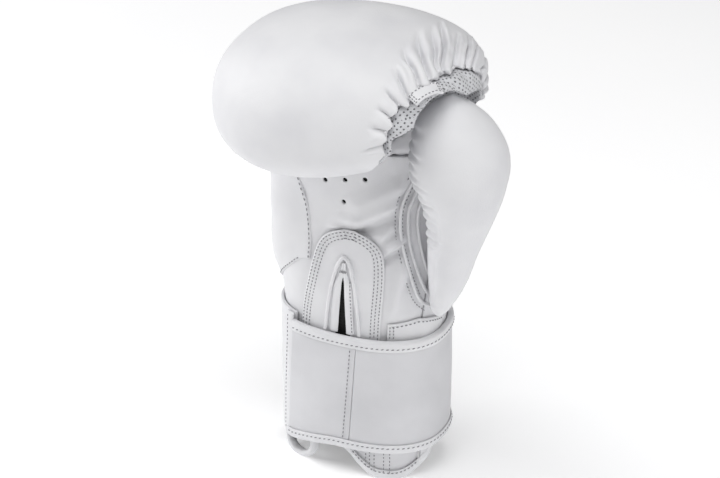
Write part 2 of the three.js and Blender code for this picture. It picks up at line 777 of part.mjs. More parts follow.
// Cuff: padded back whose flap laps over the palm leather at the left
const backEdge = (angle) => Math.max(0, between(BACK_EDGE, 'angle', 'height', angle / degrees)) * STRAP_BASE;
const EDGE_ROOM = 0.9 * degrees;
const LAP_START = 234 * degrees;
const LAP_END = 244 * degrees;
const cuffBack = wrap({
  from: always(PALM_RIGHT + EDGE_ROOM),
  to: (height) => flapEdge(height) + TURN,
  low: backEdge,
  high: always(SHELL_BASE - 1.5 * GAP),
  outer: always(FLAP_OUT),
  inner: (angle) => {
    const share = Math.min(1, Math.max(0, (angle - LAP_START) / (LAP_END - LAP_START)));
    return FLAP_OUT - CUFF_WALL + share * (CUFF_WALL - FLAP_WALL + GAP / 3);
  },
  across: 36,
  along: 4,
});
addPiece('cuff_back', cuffBack, 'leather');

// Folded binding along an edge of the cuff: a section of offsets and heights, swept round
function foldedBinding(from, to, steps, section) {
  const rings = [];
  for (let j = 0; j <= steps; j += 1) {
    const angle = from + ((to - from) * j) / steps;
    rings.push(section(angle).map(([offset, height]) => handPoint(angle, height, offset)));
  }
  return sweep(rings, section(from));
}

// Binding of the flap's upright edge
const FLAP_BINDING = 7;
const bindingTurn = FLAP_BINDING / (CUFF_WIDTH / 2);
const flapBinding = wrap({
  from: (height) => flapEdge(height) - bindingTurn,
  to: flapEdge,
  low: always(STRAP_BASE - STRAP_DROP + 1),
  high: always(SHELL_BASE - GAP),
  outer: always(FLAP_OUT + GAP + BINDING_WALL),
  inner: always(FLAP_OUT + GAP),
  across: 3,
  along: 5,
});
addPiece('flap_binding', flapBinding, 'binding');

// Binding of the palm leather's lower edge at the thumb's side
const CRESCENT_START = 3 * degrees;
const CRESCENT_END = 61 * degrees;
const crescentBinding = foldedBinding(CRESCENT_START, CRESCENT_END, 14, (angle) => {
  const edge = palmEdge(angle);
  return [
    [GAP, edge + BINDING_WIDTH],
    [GAP + BINDING_WALL, edge + BINDING_WIDTH],
    [GAP + BINDING_WALL, edge],
    [GAP, edge],
  ];
});
addPiece('palm_binding', crescentBinding, 'binding');

// Open loop of tape under the flap's lower corner
const LOOP_LEFT = -68 * degrees;
const LOOP_RIGHT = -20 * degrees;
const loopTops = [backEdge(LOOP_LEFT + TURN) - GAP, palmEdge(LOOP_RIGHT) - GAP];
const loopIn = -PALM_WALL / 2;
const loopPath = [];
for (let i = 0; i <= 8; i += 1) {
  const share = i / 8;
  const swing = -Math.cos(share * Math.PI);
  const angle = (LOOP_LEFT + LOOP_RIGHT) / 2 + (bent(swing, 0.8) * (LOOP_RIGHT - LOOP_LEFT)) / 2;
  const top = loopTops[0] + share * (loopTops[1] - loopTops[0]);
  const drop = Math.sin(share * Math.PI) ** 0.7;
  loopPath.push(handPoint(angle, top - drop * (top - LOOP_WALL / 2), loopIn));
}
const loopRings = loopPath.map((point, i) => {
  const before = loopPath[Math.max(i - 1, 0)];
  const after = loopPath[Math.min(i + 1, loopPath.length - 1)];
  const along = after.clone().sub(before).normalize();
  const outwards = new THREE.Vector3(point.x, point.y, 0).normalize();
  outwards.addScaledVector(along, -along.dot(outwards)).normalize();
  const across = new THREE.Vector3().crossVectors(along, outwards);
  return tapeSection(point, outwards, LOOP_TAPE, across, LOOP_WALL);
});
addPiece('cuff_loop', loft(loopRings), 'binding');

// Strap round the cuff: an end panel and a main panel, with folded bindings along both edges
const STRAP_CORNER = 16;
const SEAM_LEAN = 4;
const PANEL_CORNER = 1.15;
const cornerDrop = (angle) => {
  const left = (STRAP_END - angle) * (CUFF_WIDTH / 2);
  const short = Math.max(0, STRAP_CORNER - left);
  return STRAP_CORNER - Math.sqrt(Math.max(0, STRAP_CORNER ** 2 - short ** 2));
};
const HEM = 1.5;
const DROP_END = -2 * degrees;
const DROP_SPAN = 32 * degrees;
const strapFoot = (angle) => STRAP_BASE - STRAP_DROP * Math.min(1, Math.max(0, (DROP_END - angle) / DROP_SPAN));
const strapLow = (angle) => strapFoot(angle) + HEM + 2 * GAP + cornerDrop(angle) * PANEL_CORNER;
const strapHigh = (angle) => STRAP_TOP - HEM - 2 * GAP - cornerDrop(angle) * PANEL_CORNER;
const strapSeam = (height) =>
  STRAP_SEAM - (((STRAP_TOP - height) / STRAP_HEIGHT) * SEAM_LEAN) / (CUFF_WIDTH / 2);

addPiece('strap_end_panel', wrap({
  from: strapStart,
  to: strapSeam,
  low: strapLow,
  high: strapHigh,
  outer: always(STRAP_OUT),
  inner: always(STRAP_IN),
  across: 8,
  along: 2,
}), 'strap');

addPiece('strap_main', wrap({
  from: (height) => strapSeam(height) + GAP / (CUFF_WIDTH / 2),
  to: always(STRAP_END - (3 * GAP) / (CUFF_WIDTH / 2)),
  low: strapLow,
  high: strapHigh,
  outer: always(STRAP_OUT),
  inner: always(STRAP_IN),
  across: 36,
  along: 1,
}), 'strap');

for (const [name, side] of [['top', 1], ['bottom', -1]]) {
  const edge = side > 0 ? always(STRAP_TOP) : strapFoot;
  const start = strapStart(edge(STRAP_START));
  addPiece(`strap_piping_${name}`, foldedBinding(start, STRAP_END - GAP / ARC_RADIUS, 36, (angle) => {
    const rim = edge(angle) - side * cornerDrop(angle);
    const proud = STRAP_OUT + PIPING_PROUD;
    return [
      [STRAP_IN, rim],
      [proud, rim],
      [proud, rim - side * PIPING_WIDTH],
      [STRAP_OUT + GAP, rim - side * PIPING_WIDTH],
      [STRAP_OUT + GAP, rim - side * HEM],
      [STRAP_IN, rim - side * HEM],
    ];
  }), 'binding');
}

// Black lining of the hand's room, open behind the slit
const liningBlock = new THREE.BoxGeometry(CUFF_WIDTH * 2, CUFF_DEPTH * 4, LINING_TOP - LINING_BASE);
liningBlock.translate(0, 0, (LINING_TOP + LINING_BASE) / 2);
const liningSlot = new THREE.BoxGeometry(SLIT_WIDTH * 2, CUFF_DEPTH, SLIT_TOP * 2.1);
liningSlot.translate(-SLIT_LEAN / 2, -CUFF_DEPTH / 2, 0);
const lining = handRoom(GAP)
  .subtract(handRoom(GAP + LINING_WALL))
  .intersect(toSolid(liningBlock))
  .subtract(toSolid(liningSlot));
addPiece('lining', toGeometry(lining), 'lining');

// The origin goes to the middle of the box that holds the glove
const box = new THREE.Box3().setFromObject(group);
const middle = box.getCenter(new THREE.Vector3());
group.children.forEach((piece) => piece.geometry.translate(-middle.x, -middle.y, -box.min.z));

export default group;
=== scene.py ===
"""Boxing glove for the right hand: padded leather, gathered roll, stitching and closing strap."""
import math

import bmesh
import bpy
from mathutils import Matrix, Vector, noise


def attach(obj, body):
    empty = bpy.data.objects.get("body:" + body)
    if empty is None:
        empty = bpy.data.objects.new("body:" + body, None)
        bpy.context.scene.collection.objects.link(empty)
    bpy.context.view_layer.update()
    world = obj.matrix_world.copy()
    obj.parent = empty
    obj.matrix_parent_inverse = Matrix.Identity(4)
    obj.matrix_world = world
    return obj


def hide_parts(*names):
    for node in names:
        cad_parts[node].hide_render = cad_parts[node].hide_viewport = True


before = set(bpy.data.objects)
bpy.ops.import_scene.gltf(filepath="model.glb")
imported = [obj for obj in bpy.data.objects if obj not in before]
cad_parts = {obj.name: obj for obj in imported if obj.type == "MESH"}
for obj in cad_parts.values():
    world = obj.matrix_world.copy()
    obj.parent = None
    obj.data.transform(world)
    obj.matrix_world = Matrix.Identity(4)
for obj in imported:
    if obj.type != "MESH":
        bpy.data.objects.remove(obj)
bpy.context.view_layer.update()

bl_info = {
    "name": "Boxing Glove",
    "version": (1, 0, 0),
    "blender": (4, 5, 0),
    "location": "View3D > Sidebar > Glove",
    "description": "Leather boxing glove with a gathered fist, a separate thumb and a closing strap",
    "category": "Object",
}

MM = 0.001

# Named sizes of the solids, in millimetres
MIDDLE = (11.17, -22.588)
CUFF_WIDTH = 96.0
CUFF_DEPTH = 64.4
HAND_HEIGHT = 250.0
FIST_WIDTH = 158.0
FIST_DEPTH = 128.0
FIST_HEIGHT = 93.0
FIST_RISE = 253.5
FIST_TILT = 0.05
FIST_REACH = 24.0
HUB = (8.0, 8.0)
THUMB_HEIGHT = 157.0
THUMB_WIDTH = 56.0
THUMB_BASE = 117.0
THUMB_OUT = 73.5
THUMB_REACH = 40.0
GAP = 0.4
PALM_TOP = 224.0
PALM_WALL = 2.5
PATCH_OUT = 1.6
PATCH_TOP = 173.0
SLIT_TOP = 140.0
SLIT_WIDTH = 14.0
SLIT_LEAN = 10.0
SLIT_END = 1.2
BINDING = 6.0
BINDING_WALL = 1.6
FLAP_OUT = 2.4
CUFF_TOP = 103.4
STRAP_BASE = 21.0
STRAP_DROP = 5.5
STRAP_TOP = 99.5
STRAP_IN = 2.8
STRAP_OUT = 5.8
STRAP_CORNER = 16.0
PIPING = 6.5
PIPING_PROUD = 0.8
PALM_LEFT = -104.0
PALM_RIGHT = 62.0
STRAP_START = -33.0
STRAP_SEAM = 9.0
STRAP_END = 262.0
STRAP_LEAN = 5.5
SEAM_LEAN = 4.0
DROP_END = -2.0
DROP_SPAN = 32.0
HAND_POWER = 2 / 2.4
FIST_POWER = 2 / 2.45

# Camera: angles in degrees, (across, height) of its aim in millimetres, distance in metres, focal length as a
# share of the sensor's width, which is in millimetres
CAMERA_AZIMUTH = 24
CAMERA_ELEVATION = 30
CAMERA_AIM = (-5.5, 144.5)
CAMERA_DISTANCE = 1.8
CAMERA_FOCAL = 3047 / 720
SENSOR = 36
# Soft square lights: name, place and width in metres, power in watts
LIGHTS = (
    ("key", (-1.6, -0.3, 0.75), 1.1, 17.0),
    ("fill", (1.5, -0.45, 1.0), 1.2, 9.0),
    ("top", (0.1, -0.55, 1.85), 1.2, 18.5),
)
LIGHTS_AIM = Vector((0, 0, 0.15))

# Tables of the solids: key first, then the columns
HAND = (
    (0.0, 0.985, 0.985, 0.985, -0.06), (0.2, 1.0, 1.0, 1.0, -0.06), (0.4, 1.0, 1.0, 1.0, -0.06),
    (0.46, 1.03, 1.06, 1.09, -0.05), (0.524, 1.08, 1.12, 1.17, -0.04), (0.6, 1.11, 1.15, 1.24, -0.02),
    (0.724, 1.13, 1.18, 1.3, 0.0), (0.86, 1.15, 1.18, 1.33, 0.0), (1.0, 1.15, 1.12, 1.3, 0.0),
)
UNDERSIDE = (
    (-1, 1), (-0.5, 0.98), (-0.2, 0.93), (0, 0.86), (0.2, 0.76), (0.35, 0.67), (0.5, 0.59),
    (0.7, 0.52), (1, 0.5),
)
THUMB = (
    (0.0, 0.728, 0.5, 0.09, 0.0), (0.02, 0.735, 0.5, 0.17, 0.0), (0.07, 0.76, 0.55, 0.28, 0.0),
    (0.19, 0.82, 0.65, 0.44, 0.2), (0.32, 0.88, 0.75, 0.55, 0.5), (0.45, 0.95, 0.85, 0.67, 0.8),
    (0.58, 0.99, 0.95, 0.85, 1.0), (0.65, 0.995, 0.98, 0.94, 1.0), (0.73, 1.0, 1.0, 1.0, 1.0),
    (0.8, 0.99, 1.0, 0.965, 1.0), (0.87, 0.955, 0.985, 0.83, 0.97), (0.93, 0.925, 0.965, 0.6, 0.86),
    (0.965, 0.91, 0.95, 0.36, 0.66), (1.0, 0.905, 0.94, 0.05, 0.5),
)
PALM_EDGE = (
    (-105, 2), (-88, 6), (-74, 19), (-18, 19), (-4, 21.5), (3, 16.5), (10, 8.5), (19, 2), (28, 0.3), (36, 0),
    (45, 1.3), (56, 5), (64, 9.5),
)
BACK_EDGE = (
    (62, 9), (72, 13), (80, 20), (88, 21.6), (105, 20), (122, 4.2), (135, 0), (245, 0), (268, 2), (280, 8),
    (289, 13), (325, 14),
)
SIDE_SEAM = ((0.4, -0.45), (0.576, -0.449), (0.64, -0.424), (0.724, -0.455), (0.79, -0.572), (0.89, -0.7))
SIDE_END = ((-106, 0.435), (-80, 0.45), (-58, 0.49), (-40, 0.535), (-26, 0.575), (-18, 0.585))
ARCH = (
    (0.12, -0.17, 0.53), (0.58, -0.09, 0.517), (0.79, 0.028, 0.481), (0.88, 0.076, 0.445),
    (0.925, 0.095, 0.405), (0.96, 0.102, 0.33), (0.985, 0.106, 0.21), (1.0, 0.106, 0.07),
)
WELTS = {
    "gusset_welt_outer": (
        (0.852, 0.87), (0.8, 0.763), (0.752, 0.71), (0.68, 0.718), (0.6, 0.784), (0.516, 0.86), (0.472, 0.95),
    ),
    "gusset_welt_middle": (
        (0.836, 0.93), (0.796, 0.85), (0.752, 0.79), (0.68, 0.795), (0.6, 0.86), (0.524, 0.935),
    ),
    "gusset_welt_inner": ((0.79, 0.93), (0.752, 0.885), (0.7, 0.885), (0.62, 0.93), (0.56, 0.98)),
}
TAB = (
    (0.716, 0.697, 0.592), (0.737, 0.666, 0.643), (0.772, 0.586, 0.669), (0.81, 0.508, 0.673),
    (0.838, 0.461, 0.65),
)
TAB_FACING = Vector((0, -0.5, 0.86))
TAB_WIDTH = 8.0
TAB_WALL = 1.6
TAB_PROUD = 1.9

# Creases of the gathered end: (share along the roll, turn in degrees) from the smooth leather to the
# thumb's hole, and the depth
CREASES = (
    (((0.42, -3), (0.56, 1)), 2.0), (((0.47, 12), (0.6, 9)), 2.6), (((0.5, 27), (0.64, 18)), 2.6),
    (((0.51, 42), (0.68, 27)), 3.2), (((0.52, 58), (0.6, 49), (0.7, 36)), 4.0),
    (((0.5, 78), (0.63, 63), (0.75, 45)), 4.4), (((0.49, 92), (0.65, 75), (0.8, 54)), 4.2),
    (((0.53, 102), (0.68, 85), (0.84, 64)), 2.6), (((0.53, 116), (0.72, 90), (0.85, 68)), 4.0),
    (((0.7, 113), (0.82, 91), (0.88, 72)), 2.4), (((0.72, 135), (0.87, 101), (0.92, 78)), 3.6),
    (((0.8, 144), (0.91, 105), (0.95, 82)), 2.4), (((0.78, 162), (0.92, 147), (0.97, 95)), 3.0),
    (((0.86, 176), (0.95, 166), (0.99, 110)), 2.2), (((0.78, 190), (0.94, 184), (0.99, 130)), 3.0),
    (((0.74, 208), (0.9, 205), (0.98, 190)), 3.0), (((0.7, 228), (0.86, 226), (0.96, 220)), 2.6),
)
# Half width of the welt's arch over the slit, by height
WELT_HALF = ((99.9, 10.4), (118, 8.9), (132, 7.2), (142, 5.4), (149, 3.6), (153.5, 1.9), (155.6, 0.3))
# Top of the wrist band by angle, and the upright rows of stitches at the palm leather's foot: angle, ends
BAND_TOP = ((30, 110.0), (35, 110.3), (58, 112.8), (70, 111.2), (82, 108.5), (92, 106.0))
FOOT_ROWS = ((14.7, 8, 20), (17.4, 7, 20), (20.8, 5, 20), (28.1, 4, 20), (33.0, 4, 20))
# Vent holes in the palm, as (across, height), and their width
VENTS = ((-10.6, 202.2), (2.1, 205.2), (14.3, 207.7), (1.5, 190.9))
VENT = 3.0
# Short folds along the thumb's inner edge: height, turn and half length in degrees, height of the fold
THUMB_FOLDS = (
    (257, -58, 24, 0.7), (250, -66, 18, 0.5), (243, -62, 28, 0.9), (237, -66, 22, 0.8), (231, -60, 24, 0.6),
    (225, -60, 34, 1.1), (218, -64, 24, 0.8), (211, -60, 36, 1.1), (204, -60, 24, 0.7), (198, -54, 34, 0.9),
    (191, -50, 26, 0.6), (185, -44, 34, 0.9), (178, -46, 24, 0.5),
)
# Soft folds in the palm: ends as (across, height), half width, height of the fold
PALM_FOLDS = (
    ((-4, 172), (33, 194), 5.0, 5.2), ((6, 188), (36, 207), 5.5, 3.2), ((19, 156), (35, 170), 3.0, 4.2),
    ((12, 160), (32, 181), 3.0, 2.2), ((-36, 196), (-20, 214), 7.0, 0.8), ((27, 118), (36, 152), 4.5, 2.6),
)


def between(rows, column, at):
    """A table's column at a key, on a smooth curve through the rows."""
    last = len(rows) - 1
    if at <= rows[0][0]:
        return rows[0][column]
    if at >= rows[last][0]:
        return rows[last][column]
    i = 0
    while rows[i + 1][0] < at:
        i += 1
    span = rows[i + 1][0] - rows[i][0]

    def slope(k):
        a, b = max(k - 1, 0), min(k + 1, last)
        return (rows[b][column] - rows[a][column]) / (rows[b][0] - rows[a][0])

    t = (at - rows[i][0]) / span
    h = 1 - t
    return (rows[i][column] * h * h * (1 + 2 * t) + rows[i + 1][column] * t * t * (1 + 2 * h)
            + slope(i) * span * t * h * h - slope(i + 1) * span * h * t * t)


def straight(points, at):
    """The second number of (key, value) points at a key, along straight lines."""
    if at <= points[0][0]:
        return points[0][1]
    for (a, va), (b, vb) in zip(points, points[1:]):
        if at <= b:
            return va + (vb - va) * (at - a) / (b - a)
    return points[-1][1]


def bent(value, power):
    return math.copysign(abs(value) ** power, value)


def ease(low, high, value):
    t = min(1.0, max(0.0, (value - low) / (high - low)))
    return t * t * (3 - 2 * t)


# Surfaces of the glove, in metres
def hand_point(angle, height, offset):
    """A point on the hand's surface. Angle 0 is the palm's middle and 90 the thumb's side."""
    at = height / HAND_HEIGHT
    turn = math.radians(angle)
    width = between(HAND, 1, at) * CUFF_WIDTH / 2 + offset
    depth = between(HAND, 2 if math.cos(turn) > 0 else 3, at) * CUFF_DEPTH / 2 + offset
    x = between(HAND, 4, at) * CUFF_WIDTH / 2 + width * bent(math.sin(turn), HAND_POWER)
    y = -depth * bent(math.cos(turn), HAND_POWER)
    return Vector((x - MIDDLE[0], y - MIDDLE[1], height)) * MM


def hand_angle(across, height):
    """The angle of the palm's surface at a sideways place."""
    at = height / HAND_HEIGHT
    width = between(HAND, 1, at) * CUFF_WIDTH / 2
    share = (across - between(HAND, 4, at) * CUFF_WIDTH / 2) / width
    return math.degrees(math.asin(bent(max(-1.0, min(1.0, share)), 1 / HAND_POWER)))


def palm_point(across, height, offset):
    return hand_point(hand_angle(across, height), height, offset)


def roll_size(share):
    size = math.sqrt(max(0.0, 1 - abs(share) ** (2 / FIST_POWER))) ** FIST_POWER
    return FIST_DEPTH / 2 * size, FIST_HEIGHT / 2 * size


def thumb_ring(at, margin, room):
    """Middle and radius of the thumb at a share of its height."""
    grown = between(THUMB, 4, at) * room
    radius = between(THUMB, 3, at) * THUMB_WIDTH / 2 + margin + grown / 2
    x = between(THUMB, 1, at) * THUMB_OUT - grown / 2
    y = -between(THUMB, 2, at) * THUMB_REACH - grown * 0.2
    return x - MIDDLE[0], y - MIDDLE[1], radius


# Materials
def linear(code):
    """sRGB hex to linear colour."""
    out = []
    for i in (0, 2, 4):
        c = int(code.lstrip("#")[i:i + 2], 16) / 255
        out.append(c / 12.92 if c <= 0.04045 else ((c + 0.055) / 1.055) ** 2.4)
    return (*out, 1.0)


def node(tree, kind, settings=None, inputs=None, links=None):
    """Adds a node, sets its properties and inputs, and links other nodes' outputs to its inputs."""
    made = tree.nodes.new(kind)
    for key, value in (settings or {}).items():
        setattr(made, key, value)
    for key, value in (inputs or {}).items():
        made.inputs[key].default_value = value
    for key, output in (links or {}).items():
        tree.links.new(output, made.inputs[key])
    return made


def new_material(name):
    material = bpy.data.materials.new(name)
    material.use_nodes = True
    tree = material.node_tree
    return material, tree, tree.nodes["Principled BSDF"]


def colour_ramp(tree, source, low, high, start=0.35, end=0.65):
    ramp = node(tree, "ShaderNodeValToRGB", links={"Fac": source})
    ramp.color_ramp.elements[0].position = start
    ramp.color_ramp.elements[0].color = low
    ramp.color_ramp.elements[1].position = end
    ramp.color_ramp.elements[1].color = high
    return ramp


def noise_at(tree, place, size_mm, detail, distortion=0.0):
    """A noise whose patches are about a size in millimetres."""
    return node(tree, "ShaderNodeTexNoise", links={"Vector": place},
                inputs={"Scale": 1 / (size_mm * MM), "Detail": detail, "Distortion": distortion})


def leather_material(name, light, dark, grain_mm=0.9, depth=0.12, roughness=0.5):
    """Polyurethane-coated leather: a fine pebble grain, a soft matte sheen and slow changes of tone."""
    material, tree, shader = new_material(name)
    place = node(tree, "ShaderNodeTexCoord").outputs["Object"]
    cloud = noise_at(tree, place, 38.0, 3.0)
    tone = colour_ramp(tree, cloud.outputs["Fac"], linear(dark), linear(light), 0.3, 0.62)
    tree.links.new(tone.outputs["Color"], shader.inputs["Base Color"])
    pebble = node(tree, "ShaderNodeTexVoronoi", links={"Vector": place},
                  inputs={"Scale": 1 / (grain_mm * MM)})
    fine = noise_at(tree, place, 0.45 * grain_mm, 4.0)
    both = node(tree, "ShaderNodeMath", {"operation": "MULTIPLY_ADD"}, {1: 0.6},
                {0: fine.outputs["Fac"], 2: pebble.outputs["Distance"]})
    crumple = noise_at(tree, place, 7, 2.0, 0.6)
    soft = node(tree, "ShaderNodeBump", inputs={"Strength": 0.16, "Distance": 0.6 * MM},
                links={"Height": crumple.outputs["Fac"]})
    bump = node(tree, "ShaderNodeBump", inputs={"Strength": 0.35, "Distance": depth * MM},
                links={"Height": both.outputs["Value"], "Normal": soft.outputs["Normal"]})
    tree.links.new(bump.outputs["Normal"], shader.inputs["Normal"])
    spread = {"From Min": 0.3, "From Max": 0.7, "To Min": roughness - 0.05, "To Max": roughness + 0.07}
    gloss = node(tree, "ShaderNodeMapRange", inputs=spread, links={"Value": cloud.outputs["Fac"]})
    tree.links.new(gloss.outputs["Result"], shader.inputs["Roughness"])
    shader.inputs["IOR"].default_value = 1.46
    shader.inputs["Specular IOR Level"].default_value = 0.35
    return material


def mesh_material(name, light, hole, pitch_mm=3.0):
    """Perforated spacer mesh: staggered round holes in a pale knit, the holes painted dark grey as painted
    shade.
    """
    material, tree, shader = new_material(name)
    place = node(tree, "ShaderNodeTexCoord").outputs["UV"]
    turn = {"Rotation": (0, 0, math.radians(45)), "Scale": (1 / pitch_mm * 1.25,) * 3}
    turned = node(tree, "ShaderNodeMapping", inputs=turn, links={"Vector": place})
    dots = node(tree, "ShaderNodeTexVoronoi", {"voronoi_dimensions": "2D"},
                {"Scale": 1.0, "Randomness": 0.12}, {"Vector": turned.outputs["Vector"]})
    open_at = node(tree, "ShaderNodeMapRange", {"interpolation_type": "SMOOTHSTEP"},
                   {"From Min": 0.14, "From Max": 0.27}, {"Value": dots.outputs["Distance"]})
    knit = node(tree, "ShaderNodeTexNoise", inputs={"Scale": 2.4, "Detail": 3.0}, links={"Vector": place})
    yarn = colour_ramp(tree, knit.outputs["Fac"], linear("#C2C3C6"), linear(light), 0.3, 0.65)
    # The hole colour is painted shade: the holes are not cut, only coloured dark.
    colour = node(tree, "ShaderNodeMix", {"data_type": "RGBA"}, {6: linear(hole)},
                  {0: open_at.outputs["Result"], 7: yarn.outputs["Color"]})
    tree.links.new(colour.outputs[2], shader.inputs["Base Color"])
    bump = node(tree, "ShaderNodeBump", inputs={"Strength": 0.7, "Distance": 0.5 * MM},
                links={"Height": open_at.outputs["Result"]})
    fuzz = node(tree, "ShaderNodeBump", inputs={"Strength": 0.3, "Distance": 0.15 * MM},
                links={"Height": knit.outputs["Fac"], "Normal": bump.outputs["Normal"]})
    tree.links.new(fuzz.outputs["Normal"], shader.inputs["Normal"])
    shader.inputs["Roughness"].default_value = 0.85
    shader.inputs["Sheen Weight"].default_value = 0.2
    return material


def woven_material(name, light, dark, thread_mm):
    """Plain woven cloth: crossing threads with a dull face."""
    material, tree, shader = new_material(name)
    place = node(tree, "ShaderNodeTexCoord").outputs["Object"]
    # A wave of scale 1 repeats every 0.314 m, so these repeat every two threads
    bands = {"Scale": 1 / (thread_mm * MM) / 6.3, "Distortion": 0.4}
    warp = node(tree, "ShaderNodeTexWave", {"bands_direction": "Z"}, bands, {"Vector": place})
    weft = node(tree, "ShaderNodeTexWave", {"bands_direction": "X"}, bands, {"Vector": place})
    cross = node(tree, "ShaderNodeMath", {"operation": "MAXIMUM"},
                 links={0: warp.outputs["Fac"], 1: weft.outputs["Fac"]})
    tone = colour_ramp(tree, cross.outputs["Value"], linear(dark), linear(light), 0.2, 0.9)
    tree.links.new(tone.outputs["Color"], shader.inputs["Base Color"])
    bump = node(tree, "ShaderNodeBump", inputs={"Strength": 0.5, "Distance": 0.2 * MM},
                links={"Height": cross.outputs["Value"]})
    tree.links.new(bump.outputs["Normal"], shader.inputs["Normal"])
    shader.inputs["Roughness"].default_value = 0.9
    shader.inputs["Sheen Weight"].default_value = 0.15
    return material


def thread_material(name, colour):
    """Bonded polyester thread: slightly shiny, with a fine twist, and greyer than the thread itself as painted
    shade of its holes.
    """
    material, tree, shader = new_material(name)
    place = node(tree, "ShaderNodeTexCoord").outputs["Object"]
    twist = noise_at(tree, place, 0.5, 2.0)
    tone = colour_ramp(tree, twist.outputs["Fac"], linear("#6C6C70"), linear(colour), 0.3, 0.6)
    tree.links.new(tone.outputs["Color"], shader.inputs["Base Color"])
    bump = node(tree, "ShaderNodeBump", inputs={"Strength": 0.4, "Distance": 0.1 * MM},
                links={"Height": twist.outputs["Fac"]})
    tree.links.new(bump.outputs["Normal"], shader.inputs["Normal"])
    shader.inputs["Roughness"].default_value = 0.45
    return material


def floor_material(name, colour):
    """Seamless paper backdrop: pale and even, with a barely uneven tone."""
    material, tree, shader = new_material(name)
    place = node(tree, "ShaderNodeTexCoord").outputs["Object"]
    cloud = node(tree, "ShaderNodeTexNoise", inputs={"Scale": 3.0, "Detail": 2.0}, links={"Vector": place})
    tone = colour_ramp(tree, cloud.outputs["Fac"], linear("#F7F7F8"), linear(colour), 0.2, 0.8)
    tree.links.new(tone.outputs["Color"], shader.inputs["Base Color"])
    tree.links.new(tone.outputs["Color"], shader.inputs["Emission Color"])
    # A little light of its own, as of a sheet lit from below, keeps the floor white round the glove
    shader.inputs["Emission Strength"].default_value = 0.3
    shader.inputs["Roughness"].default_value = 0.9
    return material


FINISHES = {}


def finish(name):
    """The material of that name, made when it is first asked for."""
    if name not in FINISHES:
        colours = bpy.context.scene.glove_colours
        makers = {
            "coated leather": lambda: leather_material(name, colours.leather, "#DDDDE0"),
            "strap leather": lambda: leather_material(name, colours.strap, "#CFCFD2", grain_mm=0.8),
            "folded binding leather": lambda: leather_material(
                name, colours.binding, "#DEDEE1", grain_mm=0.6, depth=0.08, roughness=0.42),
            # The mesh's hole grey #66676A is painted shade inside the perforations.
            "perforated spacer mesh": lambda: mesh_material(name, colours.knit, "#66676A"),
            "black woven lining": lambda: woven_material(name, colours.lining, "#020202", thread_mm=1.2),
            "sewing thread darkened as painted shade": lambda: thread_material(name, colours.thread),
        }
        FINISHES[name] = makers[name]()
    return FINISHES[name]


# Pieces
def to_object(name, bm):
    mesh = bpy.data.meshes.new(name)
    for face in bm.faces:
        face.smooth = True
    bm.to_mesh(mesh)
    bm.free()
    piece = bpy.data.objects.new(name, mesh)
    bpy.context.scene.collection.objects.link(piece)
    return piece


def settle(piece, material, slot, *nodes):
    """Gives the piece its finish, its place on the body and the solids that it stands for."""
    piece.data.materials.clear()
    piece.data.materials.append(finish(material))
    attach(piece, "root")
    if nodes:
        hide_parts(*nodes)
    return piece


def sheet_mesh(across, along, place, size=(1.0, 1.0), centre=None):
    """A grid laid on a surface by place(u, v), facing away from centre(point), with a UV map in millimetres."""
    bm = bmesh.new()
    bmesh.ops.create_grid(bm, x_segments=across, y_segments=along, size=0.5)
    uv = bm.loops.layers.uv.new("UVMap")
    for face in bm.faces:
        for loop in face.loops:
            loop[uv].uv = ((loop.vert.co.x + 0.5) * size[0], (loop.vert.co.y + 0.5) * size[1])
    for vert in bm.verts:
        vert.co = place(vert.co.x + 0.5, vert.co.y + 0.5)
    bm.normal_update()
    away = 0.0
    for face in bm.faces:
        middle = face.calc_center_median()
        inside = centre(middle) if centre else Vector((-MIDDLE[0] * MM, -MIDDLE[1] * MM, middle.z))
        away += face.normal.dot(middle - inside) * face.calc_area()
    if away < 0:
        bmesh.ops.reverse_faces(bm, faces=bm.faces)
    return bm


def round_edges(piece, width, segments, sharper_than):
    """Rounds the edges that turn by more than an angle, in degrees."""
    rounding = piece.modifiers.new("Rounded edges", "BEVEL")
    rounding.width = width * MM
    rounding.segments = segments
    rounding.limit_method = "ANGLE"
    rounding.angle_limit = math.radians(sharper_than)


def thicken(piece, wall, edge=0.35, segments=2):
    """Gives a sheet its thickness inwards and rounds its edges."""
    solid = piece.modifiers.new("Thickness", "SOLIDIFY")
    solid.thickness = wall * MM
    solid.offset = -1
    solid.use_even_offset = True
    if edge:
        round_edges(piece, edge, segments, 50)


def applied(piece):
    """Applies the piece's modifiers to its mesh."""
    graph = bpy.context.evaluated_depsgraph_get()
    mesh = bpy.data.meshes.new_from_object(piece.evaluated_get(graph))
    piece.modifiers.clear()
    old = piece.data
    piece.data = mesh
    bpy.data.meshes.remove(old)


def padded_copy(name, source, voxel, smoothing, levels=1, reshape=None):
    """A remeshed and smoothed copy of a solid, put back on its exact surface by reshape, with finer faces."""
    bm = bmesh.new()
    bm.from_mesh(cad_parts[source].data)
    bmesh.ops.remove_doubles(bm, verts=bm.verts, dist=1e-5)
    piece = to_object(name, bm)
    remesh = piece.modifiers.new("Even faces", "REMESH")
    remesh.mode = "VOXEL"
    remesh.voxel_size = voxel * MM
    applied(piece)
    bm = bmesh.new()
    bm.from_mesh(piece.data)
    for _ in range(smoothing):
        bmesh.ops.smooth_vert(bm, verts=bm.verts, factor=0.5,
                              use_axis_x=True, use_axis_y=True, use_axis_z=True)
    if reshape:
        for vert in bm.verts:
            vert.co = reshape(vert.co)
    bm.to_mesh(piece.data)
    bm.free()
    if levels:
        finer = piece.modifiers.new("Finer faces", "SUBSURF")
        finer.levels = levels
        finer.render_levels = levels
        applied(piece)
    for face in piece.data.polygons:
        face.use_smooth = True
    return piece


def emboss(piece, height_at):
    """Moves each point along its normal by height_at(point, normal), in millimetres."""
    mesh = piece.data
    normals = [v.normal.copy() for v in mesh.vertices]
    for vert, normal in zip(mesh.vertices, normals):
        lift = height_at(vert.co, normal)
        if lift:
            vert.co += normal * (lift * MM)
    mesh.update()


